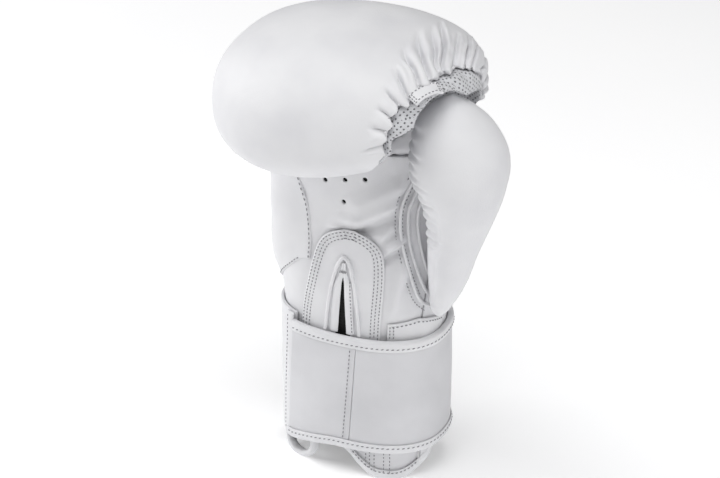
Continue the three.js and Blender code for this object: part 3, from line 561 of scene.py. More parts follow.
def tube(name, points, radius):
    """A round cord along a smooth curve through points."""
    curve = bpy.data.curves.new(name, "CURVE")
    curve.dimensions = "3D"
    curve.bevel_depth = radius * MM
    curve.bevel_resolution = 2
    curve.use_fill_caps = True
    spline = curve.splines.new("NURBS")
    spline.points.add(len(points) - 1)
    for point, place in zip(spline.points, points):
        point.co = (*place, 1)
    spline.use_endpoint_u = True
    spline.order_u = 3
    spline.resolution_u = 6
    holder = bpy.data.objects.new(name, curve)
    graph = bpy.context.evaluated_depsgraph_get()
    bpy.context.scene.collection.objects.link(holder)
    graph.update()
    mesh = bpy.data.meshes.new_from_object(holder.evaluated_get(graph))
    bpy.data.objects.remove(holder)
    piece = bpy.data.objects.new(name, mesh)
    for face in mesh.polygons:
        face.use_smooth = True
    bpy.context.scene.collection.objects.link(piece)
    return piece


# Stitching: how far a thread stands off the leather, and the stitches kept for the thread mesh
STITCH_LIFT = 0.12
THREADS = []


def walk(points, pitch):
    """Places at even steps along a line of points: (place, direction)."""
    steps = []
    left = pitch / 2
    for a, b in zip(points, points[1:]):
        length = (b - a).length / MM
        while left <= length:
            steps.append((a.lerp(b, left / length), (b - a).normalized()))
            left += pitch
        left -= length
    return steps


def sew(points, facing, pitch=None, length=0.68, slant=0.0):
    """Keeps a row of stitches for the thread mesh. facing(point) is the surface's outward direction."""
    pitch = pitch or bpy.context.scene.glove_sizes.stitch_pitch
    for place, along in walk(points, pitch):
        out = facing(place).normalized()
        across = out.cross(along).normalized()
        along = (along + across * slant).normalized()
        THREADS.append((place + out * (STITCH_LIFT * MM), along, out, pitch * length))


def hand_facing(point):
    """Outward direction of the hand's surface at a point near it."""
    x = point.x / MM + MIDDLE[0]
    y = point.y / MM + MIDDLE[1]
    at = point.z / MM / HAND_HEIGHT
    x -= between(HAND, 4, at) * CUFF_WIDTH / 2
    width = between(HAND, 1, at) * CUFF_WIDTH / 2
    depth = between(HAND, 2 if y < 0 else 3, at) * CUFF_DEPTH / 2
    return Vector((bent(x / width, 1.4) / width, bent(y / depth, 1.4) / depth, 0)).normalized()


def offset_line(points, distance):
    """A flat line of (across, height) moved sideways: positive is to the left of its direction."""
    moved = []
    for i, (x, z) in enumerate(points):
        a = points[max(i - 1, 0)]
        b = points[min(i + 1, len(points) - 1)]
        dx, dz = b[0] - a[0], b[1] - a[1]
        size = math.hypot(dx, dz) or 1.0
        moved.append((x - dz / size * distance, z + dx / size * distance))
    return moved


def on_palm(line, offset):
    return [palm_point(x, z, offset) for x, z in line]


# Fist
def roll_place(point):
    """(share, turn in radians, radius ratio) of a point near the roll."""
    x = point.x / MM + MIDDLE[0]
    share = x / (FIST_WIDTH / 2)
    if abs(share) > 0.985:
        return None
    depth, height = roll_size(share)
    to_hub = max(0.0, share) ** 4
    a = -(point.y / MM + MIDDLE[1] + FIST_REACH + HUB[0] * to_hub) / max(depth, 1)
    b = (point.z / MM - FIST_RISE - FIST_TILT * x - HUB[1] * to_hub) / max(height, 1)
    if b < 0:
        b /= between(UNDERSIDE, 1, share)
    power = 2 / FIST_POWER
    ratio = (abs(a) ** power + abs(b) ** power) ** (1 / power)
    turn = math.atan2(bent(b, 1 / FIST_POWER), bent(a, 1 / FIST_POWER))
    return share, turn, ratio


def smooth_roll(point):
    """Puts a point of the roll's outer face back on the smooth roll."""
    found = roll_place(point)
    if not found:
        return point
    share, turn, ratio = found
    if abs(share) > 0.93 or abs(ratio - 1) > 0.1:
        return point
    hold = 1 - ease(0.05, 0.1, abs(ratio - 1))
    hold *= 1 - ease(0.88, 0.93, abs(share))
    to_hub = max(0.0, share) ** 4
    x = point.x / MM + MIDDLE[0]
    forward = -FIST_REACH - HUB[0] * to_hub - MIDDLE[1]
    up = FIST_RISE + FIST_TILT * x + HUB[1] * to_hub
    centre = Vector((point.x, forward * MM, up * MM))
    target = centre + (point - centre) / ratio
    return point.lerp(target, hold)


def gather_height(share, turn):
    """Height of the gathers on the roll at a place, in millimetres."""
    if share < 0.36:
        return 0.0
    depth, height = roll_size(share)
    radius = math.sqrt(depth * height)
    height_sum = 0.0
    for line, deep in CREASES:
        first, last = line[0][0], line[-1][0]
        if share < first - 0.03:
            continue
        centre = straight(line, share)
        away = (turn - centre + 180) % 360 - 180
        slide = math.radians(away) * radius
        start = ease(first - 0.03, first + 0.45 * (last - first), share)
        width = 1.0 + 1.1 * (1 - start)
        side = 1.0 if slide > 0 else 1.9
        rim = 1 - 0.45 * ease(last - 0.12, last + 0.02, share)
        height_sum -= 1.25 * deep * start * rim * math.exp(-abs(slide / (width * side)) ** 1.15)
        height_sum += 0.28 * deep * start * rim * math.exp(-((abs(slide) - 4.2) / 2.6) ** 2)
    return height_sum


def fist_height(point, normal):
    found = roll_place(point)
    if not found:
        return 0.0
    share, turn, ratio = found
    if abs(ratio - 1) > 0.12 and share < 0.85:
        return 0.0
    degrees = math.degrees(turn)
    wobble = 4 * noise.noise(point * 60)
    fall = bpy.context.scene.glove_sizes.gather_depth
    lift = gather_height(share, degrees + wobble) * fall
    fine = ease(0.62, 0.85, share) * 0.45 * noise.noise(Vector((share * 6, degrees * 0.16, 3.0)))
    dents = 0.7 * noise.noise(point * 22) + 0.25 * noise.noise(point * 70)
    return lift + fine + dents * ease(0.9, 0.6, abs(share)) * 0.8


# Thumb
def smooth_thumb(point):
    at = (point.z / MM - THUMB_BASE) / THUMB_HEIGHT
    if not 0.03 < at < 0.96:
        return point
    x, y, radius = thumb_ring(at, 0, 0)
    dx, dy = point.x / MM - x, point.y / MM - y
    reach = math.hypot(dx, dy)
    if abs(reach / radius - 1) > 0.09:
        return point
    hold = (1 - ease(0.05, 0.09, abs(reach / radius - 1))) * (1 - ease(0.88, 0.96, at)) * ease(0.03, 0.1, at)
    target = Vector(((x + dx / reach * radius) * MM, (y + dy / reach * radius) * MM, point.z))
    return point.lerp(target, hold)


def thumb_height(point, normal):
    at = (point.z / MM - THUMB_BASE) / THUMB_HEIGHT
    x, y, radius = thumb_ring(min(max(at, 0.0), 1.0), 0, 0)
    dx, dy = point.x / MM - x, point.y / MM - y
    if math.hypot(dx, dy) < radius * 0.9 and at < 0.9:
        return 0.0
    turn = math.degrees(math.atan2(dx, -dy))
    lift = 0.0
    for height, middle, half, high in THUMB_FOLDS:
        away = (turn - middle + 180) % 360 - 180
        if abs(away) > half * 1.6:
            continue
        slope = height + away * 0.05 + 1.2 * noise.noise(point * 90 + Vector((height, 0, 0)))
        slide = (point.z / MM - slope) / 1.6
        end = 1 - ease(half * 0.5, half * 1.5, abs(away))
        lift += 1.4 * high * end * (math.exp(-slide * slide) - 0.95 * math.exp(-((slide + 1.8) ** 2)))
    flat = ease(0.7, 0.58, at) * ease(0.04, 0.14, at) * ease(-100, -80, turn) * (1 - ease(-22, -10, turn))
    crease = math.exp(-((turn + 14) / 5) ** 2) * ease(0.68, 0.6, at) * ease(0.05, 0.15, at)
    return lift - 2.2 * flat - 0.9 * crease + 0.5 * noise.noise(point * 26)


def palm_height(across, height):
    """Height of the palm's soft folds at a place, which stay low where the arched patch lies on them."""
    lift = 0.0
    for (ax, az), (bx, bz), wide, high in PALM_FOLDS:
        dx, dz = bx - ax, bz - az
        size = math.hypot(dx, dz)
        t = ((across - ax) * dx + (height - az) * dz) / (size * size)
        aside = ((across - ax) * dz - (height - az) * dx) / size
        end = ease(-0.2, 0.2, t) * (1 - ease(0.8, 1.2, t))
        valley = 0.7 * math.exp(-((aside - 1.7 * wide) / wide) ** 2)
        lift += high * end * (math.exp(-(aside / wide) ** 2) - valley)
    lift += 0.5 * noise.noise(Vector((across * 0.05, height * 0.05, 0)))
    middle = between(ARCH, 1, height / PATCH_TOP) * CUFF_WIDTH / 2
    half = between(ARCH, 2, height / PATCH_TOP) * CUFF_WIDTH / 2
    under = ease(9, 1, abs(across - middle) - half) * ease(PATCH_TOP + 9, PATCH_TOP + 1, height)
    return min(lift, lift * (1 - under) - 0.4 * under)


def palm_edge(angle):
    return max(0.0, between(PALM_EDGE, 1, angle))


def back_edge(angle):
    return max(0.0, between(BACK_EDGE, 1, angle))


def side_seam(height):
    return hand_angle(between(SIDE_SEAM, 1, height / HAND_HEIGHT) * CUFF_WIDTH / 2, height)


def slit_half(height):
    return SLIT_WIDTH / 2 * (1 - height / SLIT_TOP) + SLIT_END / 2


def slit_middle(height):
    """Middle of the slit at a height, which leans on above the slit's end."""
    return 1 - SLIT_LEAN * (SLIT_TOP - height) / SLIT_TOP


def cut_slit(bm):
    """Takes the slit out of a sheet, a little wider than the gap between its bindings."""
    wide = 2.4
    for side in (-1, 1):
        low = Vector(((slit_middle(0) + side * (slit_half(0) + wide) - MIDDLE[0]) * MM, 0, 0))
        top = slit_middle(SLIT_TOP) + side * (slit_half(SLIT_TOP) + wide) - MIDDLE[0]
        high = Vector((top * MM, 0, SLIT_TOP * MM))
        across = (high - low).cross(Vector((0, 1, 0))).normalized()
        bmesh.ops.bisect_plane(bm, geom=bm.verts[:] + bm.edges[:] + bm.faces[:],
                               plane_co=low, plane_no=across, dist=1e-6)
    inside = []
    for face in bm.faces:
        middle = face.calc_center_median()
        height = middle.z / MM
        away = abs(middle.x / MM + MIDDLE[0] - slit_middle(height))
        if height < SLIT_TOP and away < slit_half(height) + wide and middle.y < -MIDDLE[1] * MM:
            inside.append(face)
    bmesh.ops.delete(bm, geom=inside, context="FACES")


def lean_angle(height, lean):
    """How far an edge that leans by some millimetres over the strap's height has gone, in degrees."""
    return math.degrees((STRAP_TOP - height) / (STRAP_TOP - STRAP_BASE) * lean / (CUFF_WIDTH / 2))


def strap_start(height):
    return STRAP_START - lean_angle(height, STRAP_LEAN)


def strap_seam(height):
    return STRAP_SEAM - lean_angle(height, SEAM_LEAN)


def strap_foot(angle):
    """Height of the strap's lower edge, which drops towards its left end."""
    return STRAP_BASE - STRAP_DROP * min(1.0, max(0.0, (DROP_END - angle) / DROP_SPAN))


def flap_edge(height):
    return strap_start(height) - math.degrees(2 * GAP / (CUFF_WIDTH / 2))


def corner_drop(angle):
    left = math.radians(STRAP_END - angle) * CUFF_WIDTH / 2
    short = max(0.0, STRAP_CORNER - left)
    return STRAP_CORNER - math.sqrt(max(0.0, STRAP_CORNER ** 2 - short ** 2))


def arch_line():
    """The patch's outline on the palm, from its left foot over the top to its right foot."""
    left, right = [], []
    steps = 40
    for i in range(steps + 1):
        share = 0.12 + 0.88 * (1 - (1 - i / steps) ** 2)
        middle = between(ARCH, 1, share) * CUFF_WIDTH / 2
        half = between(ARCH, 2, share) * CUFF_WIDTH / 2
        left.append((middle - half, share * PATCH_TOP))
        right.append((middle + half, share * PATCH_TOP))
    return left + right[::-1]


class GloveSizes(bpy.types.PropertyGroup):
    """Sizes that a user would change."""
    stitch_pitch: bpy.props.FloatProperty(
        name="Stitch spacing", description="Distance between stitches, in millimetres",
        default=2.9, min=1.0, max=8.0)
    thread_width: bpy.props.FloatProperty(
        name="Thread width", description="Width of the sewing thread darkened as painted shade, in millimetres",
        default=0.75, min=0.2, max=2.0)
    gather_depth: bpy.props.FloatProperty(
        name="Gather depth", description="Depth of the gathers by the thumb, as a share of the usual depth",
        default=1.0, min=0.0, max=2.0, subtype="FACTOR")
    floor_size: bpy.props.FloatProperty(
        name="Floor size", description="Width of the floor",
        default=6.0, min=1.0, max=20.0, unit="LENGTH")


class GloveColours(bpy.types.PropertyGroup):
    """Colours that a user would change, as sRGB hex."""
    leather: bpy.props.StringProperty(
        name="Leather", description="Colour of the fist, thumb and palm", default="#E5E5E7")
    strap: bpy.props.StringProperty(
        name="Strap", description="Colour of the strap's panels", default="#D9D9DC")
    binding: bpy.props.StringProperty(
        name="Binding", description="Colour of the edge bindings", default="#E8E8EA")
    knit: bpy.props.StringProperty(
        name="Mesh", description="Colour of the perforated mesh", default="#DADADD")
    lining: bpy.props.StringProperty(
        name="Lining", description="Colour of the lining", default="#0C0C0D")
    # The thread's default grey is darker than the thread itself: it is thread colour plus painted shade of the
    # stitch holes.
    thread: bpy.props.StringProperty(
        name="Thread", description="Colour of the sewing thread darkened as painted shade", default="#98989C")
    floor: bpy.props.StringProperty(
        name="Floor", description="Colour of the floor", default="#FBFBFB")


class GLOVE_OT_fist(bpy.types.Operator):
    """Padded roll of the fist and the back of the hand, gathered round the thumb's hole"""
    bl_idname = "glove.fist"
    bl_label = "Fist"

    def execute(self, context):
        piece = padded_copy("fist_leather", "fist_shell", 3.0, 5, 1, smooth_roll)
        # Finer faces where the gathers are
        bm = bmesh.new()
        bm.from_mesh(piece.data)
        edges = set()
        for face in bm.faces:
            found = roll_place(face.calc_center_median())
            if found and 0.4 < found[0] and abs(found[2] - 1) < 0.12:
                edges.update(face.edges)
        bmesh.ops.subdivide_edges(bm, edges=list(edges), cuts=1, use_grid_fill=True)
        for face in bm.faces:
            face.smooth = True
        bm.to_mesh(piece.data)
        bm.free()
        emboss(piece, fist_height)
        settle(piece, "coated leather", "leather", "fist_shell")

        def place(u, v):
            angle = PALM_RIGHT + 0.9 + u * (360 + PALM_LEFT - PALM_RIGHT - 1.8)
            height = CUFF_TOP + 0.4 + v * (222 - CUFF_TOP)
            dent = 0.5 * noise.noise(Vector((angle * 0.04, height * 0.05, 9)))
            return hand_point(angle, height, 0.7 - 3.0 * ease(0.78, 1, v) + dent * ease(0, 0.1, v))

        piece = to_object("hand_back_leather", sheet_mesh(150, 80, place, (230, 108)))
        thicken(piece, 2.0, 0.8, 3)
        settle(piece, "coated leather", "leather", "fist_shell")
        return {"FINISHED"}


class GLOVE_OT_palm(bpy.types.Operator):
    """Palm leather with the slit, the vent holes and soft folds"""
    bl_idname = "glove.palm"
    bl_label = "Palm"

    def execute(self, context):
        def place(u, v):
            angle = PALM_LEFT + u * (PALM_RIGHT - PALM_LEFT)
            low = palm_edge(angle)
            height = low + v * (PALM_TOP - low)
            flat = hand_point(angle, height, 0)
            fade = ease(106, 125, height) * ease(0, 0.06, min(u, 1 - u))
            return hand_point(angle, height, palm_height(flat.x / MM + MIDDLE[0], height) * fade)

        bm = sheet_mesh(120, 150, place, (145, 224))
        cut_slit(bm)
        piece = to_object("palm_leather", bm)
        thicken(piece, PALM_WALL, 0)
        applied(piece)
        punch = bmesh.new()
        for across, height in VENTS:
            spot = palm_point(across, height, 0)
            turn = hand_facing(spot).to_track_quat("Z", "Y").to_matrix().to_4x4()
            bmesh.ops.create_cone(
                punch, cap_ends=True, segments=20, depth=12 * MM,
                radius1=VENT / 2 * MM, radius2=VENT / 2 * MM, matrix=Matrix.Translation(spot) @ turn)
        cutter = to_object("vent_punch", punch)
        vents = piece.modifiers.new("Vents", "BOOLEAN")
        vents.object = cutter
        vents.operation = "DIFFERENCE"
        vents.solver = "EXACT"
        applied(piece)
        bpy.data.objects.remove(cutter)
        for face in piece.data.polygons:
            face.use_smooth = True
        round_edges(piece, 0.5, 2, 60)
        settle(piece, "coated leather", "leather", "palm_panel")

        # A black sheet behind the vent holes, where the glove has no lining, is painted shade inside the holes.
        def behind(u, v):
            return palm_point(-16 + u * 36, 184 + v * 30, -PALM_WALL / 2)

        shade = sheet_mesh(12, 10, behind, (36, 30))
        piece = to_object("vent_painted_shade_sheet", shade)
        thicken(piece, 0.6, 0)
        settle(piece, "black woven lining", "lining", "lining")
        return {"FINISHED"}


class GLOVE_OT_side_panel(bpy.types.Operator):
    """Padded panel on the little finger's side"""
    bl_idname = "glove.side_panel"
    bl_label = "Side panel"

    def execute(self, context):
        def place(u, v):
            rough = PALM_LEFT + u * (side_seam(150) - PALM_LEFT)
            low = between(SIDE_END, 1, rough) * HAND_HEIGHT
            height = low + v * (PALM_TOP - GAP - low)
            angle = PALM_LEFT + u * (side_seam(height) - PALM_LEFT)
            crown = ease(-0.1, 0.4, u) * ease(-0.02, 0.45, 1 - u) * ease(-0.02, 0.22, v)
            dent = 0.7 * noise.noise(Vector((u * 4, v * 7, 2)))
            return hand_point(angle, height, 0.5 + 3.4 * crown + dent * crown)

        bm = sheet_mesh(44, 84, place, (50, 110))
        piece = to_object("side_panel_leather", bm)
        thicken(piece, 1.0, 0.3)
        settle(piece, "coated leather", "leather", "side_panel")
        seam = [hand_point(side_seam(h) - 1.2, h, 0.7) for h in range(146, 222, 2)]
        sew(seam, hand_facing, pitch=3.2)
        foot = [hand_point(a, between(SIDE_END, 1, a) * HAND_HEIGHT + 1.8, 0.8) for a in range(-100, -26, 3)]
        sew(foot, hand_facing, pitch=3.2)
        return {"FINISHED"}


class GLOVE_OT_thumb(bpy.types.Operator):
    """Padded thumb with short folds along its inner edge"""
    bl_idname = "glove.thumb"
    bl_label = "Thumb"

    def execute(self, context):
        piece = padded_copy("thumb_leather", "thumb_pod", 2.0, 6, 1, smooth_thumb)
        emboss(piece, thumb_height)
        settle(piece, "coated leather", "leather", "thumb_pod")

        def web(u, v):
            at = 0.3 + v * 0.27
            x, y, radius = thumb_ring(at, -0.3 - 2.4 * ease(0.3, 0, min(v, 1 - v)), 0)
            turn = math.radians(65 + u * 105)
            x += radius * math.cos(turn)
            y += radius * math.sin(turn)
            return Vector((x, y, THUMB_BASE + at * THUMB_HEIGHT)) * MM

        piece = to_object("thumb_back_leather", sheet_mesh(24, 24, web, (50, 50)))
        thicken(piece, 1.0, 0)
        settle(piece, "coated leather", "leather", "thumb_pod")
        return {"FINISHED"}


class GLOVE_OT_grip_mesh(bpy.types.Operator):
    """Perforated mesh that lines the room round the thumb"""
    bl_idname = "glove.grip_mesh"
    bl_label = "Grip mesh"

    def execute(self, context):
        piece = padded_copy("grip_mesh_fabric", "grip_mesh", 1.0, 5, 0)
        mesh = piece.data
        layer = mesh.uv_layers.new(name="UVMap")
        for face in mesh.polygons:
            sizes = [abs(n) for n in face.normal]
            first, second = ((1, 2), (0, 2), (0, 1))[sizes.index(max(sizes))]
            for index in face.loop_indices:
                point = mesh.vertices[mesh.loops[index].vertex_index].co / MM
                layer.data[index].uv = (point[first], point[second])
        settle(piece, "perforated spacer mesh", "mesh", "grip_mesh")
        return {"FINISHED"}


class GLOVE_OT_thumb_tab(bpy.types.Operator):
    """Short strap between the thumb's tip and the fist"""
    bl_idname = "glove.thumb_tab"
    bl_label = "Thumb tab"

    def execute(self, context):
        line = [Vector((out * FIST_WIDTH / 2 - MIDDLE[0], -FIST_REACH - forward * FIST_DEPTH / 2 - MIDDLE[1],
                        FIST_RISE + up * FIST_HEIGHT / 2)) * MM for out, forward, up in TAB]

        def path(at):
            rows = [(i / (len(line) - 1), *p) for i, p in enumerate(line)]
            return Vector([between(rows, k, at) for k in (1, 2, 3)])

        def frame_at(at):
            along = (path(min(1, at + 0.02)) - path(max(0, at - 0.02))).normalized()
            across = along.cross(TAB_FACING).normalized()
            return along, across, across.cross(along)

        def place(u, v):
            along, across, up = frame_at(v)
            return path(v) + across * ((2 * u - 1) * TAB_WIDTH / 2 * MM) + up * (TAB_PROUD * MM)

        bm = sheet_mesh(8, 24, place, (8, 22), lambda p: p - TAB_FACING)
        piece = to_object("thumb_tab_strap", bm)
        thicken(piece, TAB_WALL, 0.45)
        settle(piece, "folded binding leather", "binding", "thumb_tab")
        for at in (0.1, 0.18, 0.84, 0.92):
            along, across, up = frame_at(at)
            spot = path(at) + up * (TAB_PROUD * MM)
            row = [spot + across * (k * MM) for k in (-3.2, 0, 3.2)]
            sew(row, lambda p, up=up: up, pitch=1.9)
        for side in (-1, 1):
            row = []
            for i in range(25):
                along, across, up = frame_at(i / 24)
                row.append(path(i / 24) + across * (side * 3.0 * MM) + up * (TAB_PROUD * MM))
            sew(row, lambda p: frame_at(0.5)[2], pitch=2.4)
        return {"FINISHED"}


class GLOVE_OT_welts(bpy.types.Operator):
    """Welts of the gusset between palm and thumb"""
    bl_idname = "glove.welts"
    bl_label = "Gusset welts"

    def execute(self, context):
        for name, rows in WELTS.items():
            line = [(across * CUFF_WIDTH / 2, share * HAND_HEIGHT) for share, across in rows]
            keyed = [(i / (len(line) - 1), x, z) for i, (x, z) in enumerate(line)]
            fine = [(between(keyed, 1, i / 40), between(keyed, 2, i / 40)) for i in range(41)]
            piece = tube(name + "_piping", on_palm(fine, GAP + 0.9), 1.0)
            settle(piece, "folded binding leather", "leather", name)
            if name != "gusset_welt_inner":
                sew(on_palm(offset_line(fine, -2.6), 0.5), hand_facing, pitch=2.6)
        return {"FINISHED"}


class GLOVE_OT_patch(bpy.types.Operator):
    """Arched patch with three rows of stitching, cut for the slit"""
    bl_idname = "glove.patch"
    bl_label = "Arched patch"

    def execute(self, context):
        low = STRAP_BASE + BINDING

        def place(u, v):
            height = low + (1 - (1 - v) ** 1.6) * (PATCH_TOP - low)
            middle = between(ARCH, 1, height / PATCH_TOP) * CUFF_WIDTH / 2
            half = between(ARCH, 2, height / PATCH_TOP) * CUFF_WIDTH / 2
            across = middle + (2 * u - 1) * half
            puff = 0.5 * ease(0, 0.2, u) * ease(0, 0.2, 1 - u)
            puff *= noise.noise(Vector((across * 0.07, height * 0.06, 5)))
            rim = 0.7 * (1 - ease(0, 0.03, min(u, 1 - u, (1 - v) * 0.7)))
            return palm_point(across, height, PATCH_OUT - rim + puff)

        bm = sheet_mesh(72, 150, place, (50, 152))
        cut_slit(bm)
        piece = to_object("wrist_patch_leather", bm)
        thicken(piece, 0.7, 0.25)
        settle(piece, "coated leather", "leather", "wrist_patch")
        outline = arch_line()
        for inset in (1.4, 3.5, 5.6):
            row = [p for p in offset_line(outline, -inset) if p[1] > STRAP_TOP - 4]
            sew(on_palm(row, PATCH_OUT), hand_facing, pitch=2.6)
        return {"FINISHED"}


class GLOVE_OT_slit(bpy.types.Operator):
    """Bound edges and welt of the slit"""
    bl_idname = "glove.slit"
    bl_label = "Slit binding"

    def execute(self, context):
        top = SLIT_TOP + 11
        for name, side in (("slit_binding_left", -1), ("slit_binding_right", 1)):
            def place(u, v, side=side):
                height = STRAP_TOP + GAP + v * (top - STRAP_TOP - GAP)
                inner = slit_half(min(height, SLIT_TOP)) * (1 - ease(SLIT_TOP - 4, SLIT_TOP + 3, height))
                wide = 4.6 * (1 - 0.75 * ease(SLIT_TOP - 8, top, height))
                crown = 0.4 * math.sin(math.pi * u)
                across = slit_middle(height) + side * (inner + u * wide)
                return palm_point(across, height, PATCH_OUT + 0.9 + crown)

            bm = sheet_mesh(8, 60, place, (6, 52))
            piece = to_object(name + "_leather", bm)
            thicken(piece, 0.9, 0.35)
            settle(piece, "folded binding leather", "binding", name)
        row = [palm_point(slit_middle(h) + slit_half(min(h, SLIT_TOP)) + 3.6, h, PATCH_OUT + 1.1)
               for h in range(101, 143, 2)]
        sew(row, hand_facing, pitch=2.6)
        heights = [STRAP_TOP + GAP + k / 16 * (WELT_HALF[-1][0] - STRAP_TOP - GAP) for k in range(17)]
        line = [(slit_middle(h) - between(WELT_HALF, 1, h), h) for h in heights]
        line += [(slit_middle(h) + between(WELT_HALF, 1, h), h) for h in reversed(heights[:-1])]
        piece = tube("slit_welt_piping", on_palm(line, PATCH_OUT + 0.7), 1.1)
        settle(piece, "folded binding leather", "leather", "slit_welt")

        def behind(u, v):
            height = 60 + v * (SLIT_TOP + 6 - 60)
            across = slit_middle(height) + (2 * u - 1) * (slit_half(height) + 5)
            return palm_point(across, height, -0.2)

        piece = to_object("slit_backing_cloth", sheet_mesh(10, 30, behind, (24, 86)))
        thicken(piece, 0.8, 0)
        settle(piece, "black woven lining", "lining", "lining")
        above = SLIT_TOP + 5
        tack = [palm_point(slit_middle(above) + x, above, PATCH_OUT + 1.5) for x in (-2.2, 0, 2.2)]
        sew(tack, hand_facing, pitch=0.9, slant=3.0, length=2.4)
        return {"FINISHED"}


class GLOVE_OT_cuff(bpy.types.Operator):
    """Padded back of the cuff with the wrist band, its flap and bindings"""
    bl_idname = "glove.cuff"
    bl_label = "Cuff"

    def execute(self, context):
        start = PALM_RIGHT + 0.9

        def place(u, v):
            angle = start + u * (flap_edge(50) + 360 - start)
            low = back_edge(angle)
            height = low + v * (CUFF_TOP - low)
            angle = start + u * (flap_edge(height) + 360 - start)
            swell = 0.3 * noise.noise(Vector((angle * 0.05, height * 0.05, 1)))
            tuck = 1.3 * ease(96, 99, height) * (1 - ease(88, 94, angle))
            return hand_point(angle, height, FLAP_OUT - tuck + swell * ease(0, 0.05, min(v, 1 - v)))

        bm = sheet_mesh(200, 48, place, (230, 103))
        piece = to_object("cuff_back_leather", bm)
        thicken(piece, FLAP_OUT - GAP, 0.6, 3)
        settle(piece, "coated leather", "leather", "cuff_back")

        def band(u, v):
            angle = 30.2 + u * 60
            top = straight(BAND_TOP, angle)
            height = 97 + v * (top - 97)
            return hand_point(angle, height, 1.6 + 1.1 * ease(54, 66, angle))

        piece = to_object("wrist_band_leather", sheet_mesh(60, 14, band, (55, 14)))
        thicken(piece, 1.1, 0.4)
        settle(piece, "coated leather", "leather", "palm_panel")
        row = [hand_point(a, straight(BAND_TOP, a) - 2.0, 1.8 + 1.1 * ease(54, 66, a))
               for a in range(33, 90, 2)]
        sew(row, hand_facing, pitch=2.6)
        for angle in (32.4, 35.4):
            sew([hand_point(angle, z, 1.7) for z in (99.5, 104, 109)], hand_facing, pitch=2.4)
        for angle, low, high in FOOT_ROWS:
            row = [hand_point(angle, z, GAP + BINDING_WALL + 0.1) for z in (low, (low + high) / 2, high)]
            sew(row, hand_facing, pitch=2.6)

        turn = math.degrees(7 / (CUFF_WIDTH / 2))

        def flap(u, v):
            low = STRAP_BASE - STRAP_DROP + 1
            height = low + v * (CUFF_TOP - low)
            crown = 0.3 * math.sin(math.pi * u)
            out = FLAP_OUT + GAP + BINDING_WALL - 0.3 + crown
            return hand_point(flap_edge(height) - turn * (1 - u), height, out)

        piece = to_object("flap_binding_leather", sheet_mesh(8, 60, flap, (7, 88)))
        thicken(piece, BINDING_WALL - 0.3, 0.5)
        settle(piece, "folded binding leather", "binding", "flap_binding")
        row = [hand_point(flap_edge(h) - turn + 1.3, h, FLAP_OUT + GAP + BINDING_WALL - 0.2)
               for h in range(17, 103, 2)]
        sew(row, hand_facing, pitch=2.9)

        def crescent(u, v):
            angle = 1 + v * 77
            edge = palm_edge(angle) if angle < 62 else back_edge(angle)
            crown = 0.3 * math.sin(math.pi * u)
            out = GAP + BINDING_WALL - 0.3 + crown + 1.1 * ease(56, 64, angle)
            return hand_point(angle, edge - 0.4 + u * BINDING, out)

        piece = to_object("palm_binding_leather", sheet_mesh(8, 90, crescent, (6, 72)))
        thicken(piece, BINDING_WALL - 0.3, 0.5)
        settle(piece, "folded binding leather", "binding", "palm_binding")
        row = [hand_point(a, palm_edge(a) + BINDING - 1.6, GAP + BINDING_WALL) for a in range(4, 61, 2)]
        sew(row, hand_facing, pitch=2.6)
        return {"FINISHED"}


class GLOVE_OT_loop(bpy.types.Operator):
    """Open loop of folded leather under the flap's corner"""
    bl_idname = "glove.loop"
    bl_label = "Cuff loop"

    def execute(self, context):
        piece = padded_copy("cuff_loop_webbing", "cuff_loop", 0.6, 8, 0)
        emboss(piece, lambda point, normal: 0.7)
        settle(piece, "folded binding leather", "binding", "cuff_loop")
        return {"FINISHED"}


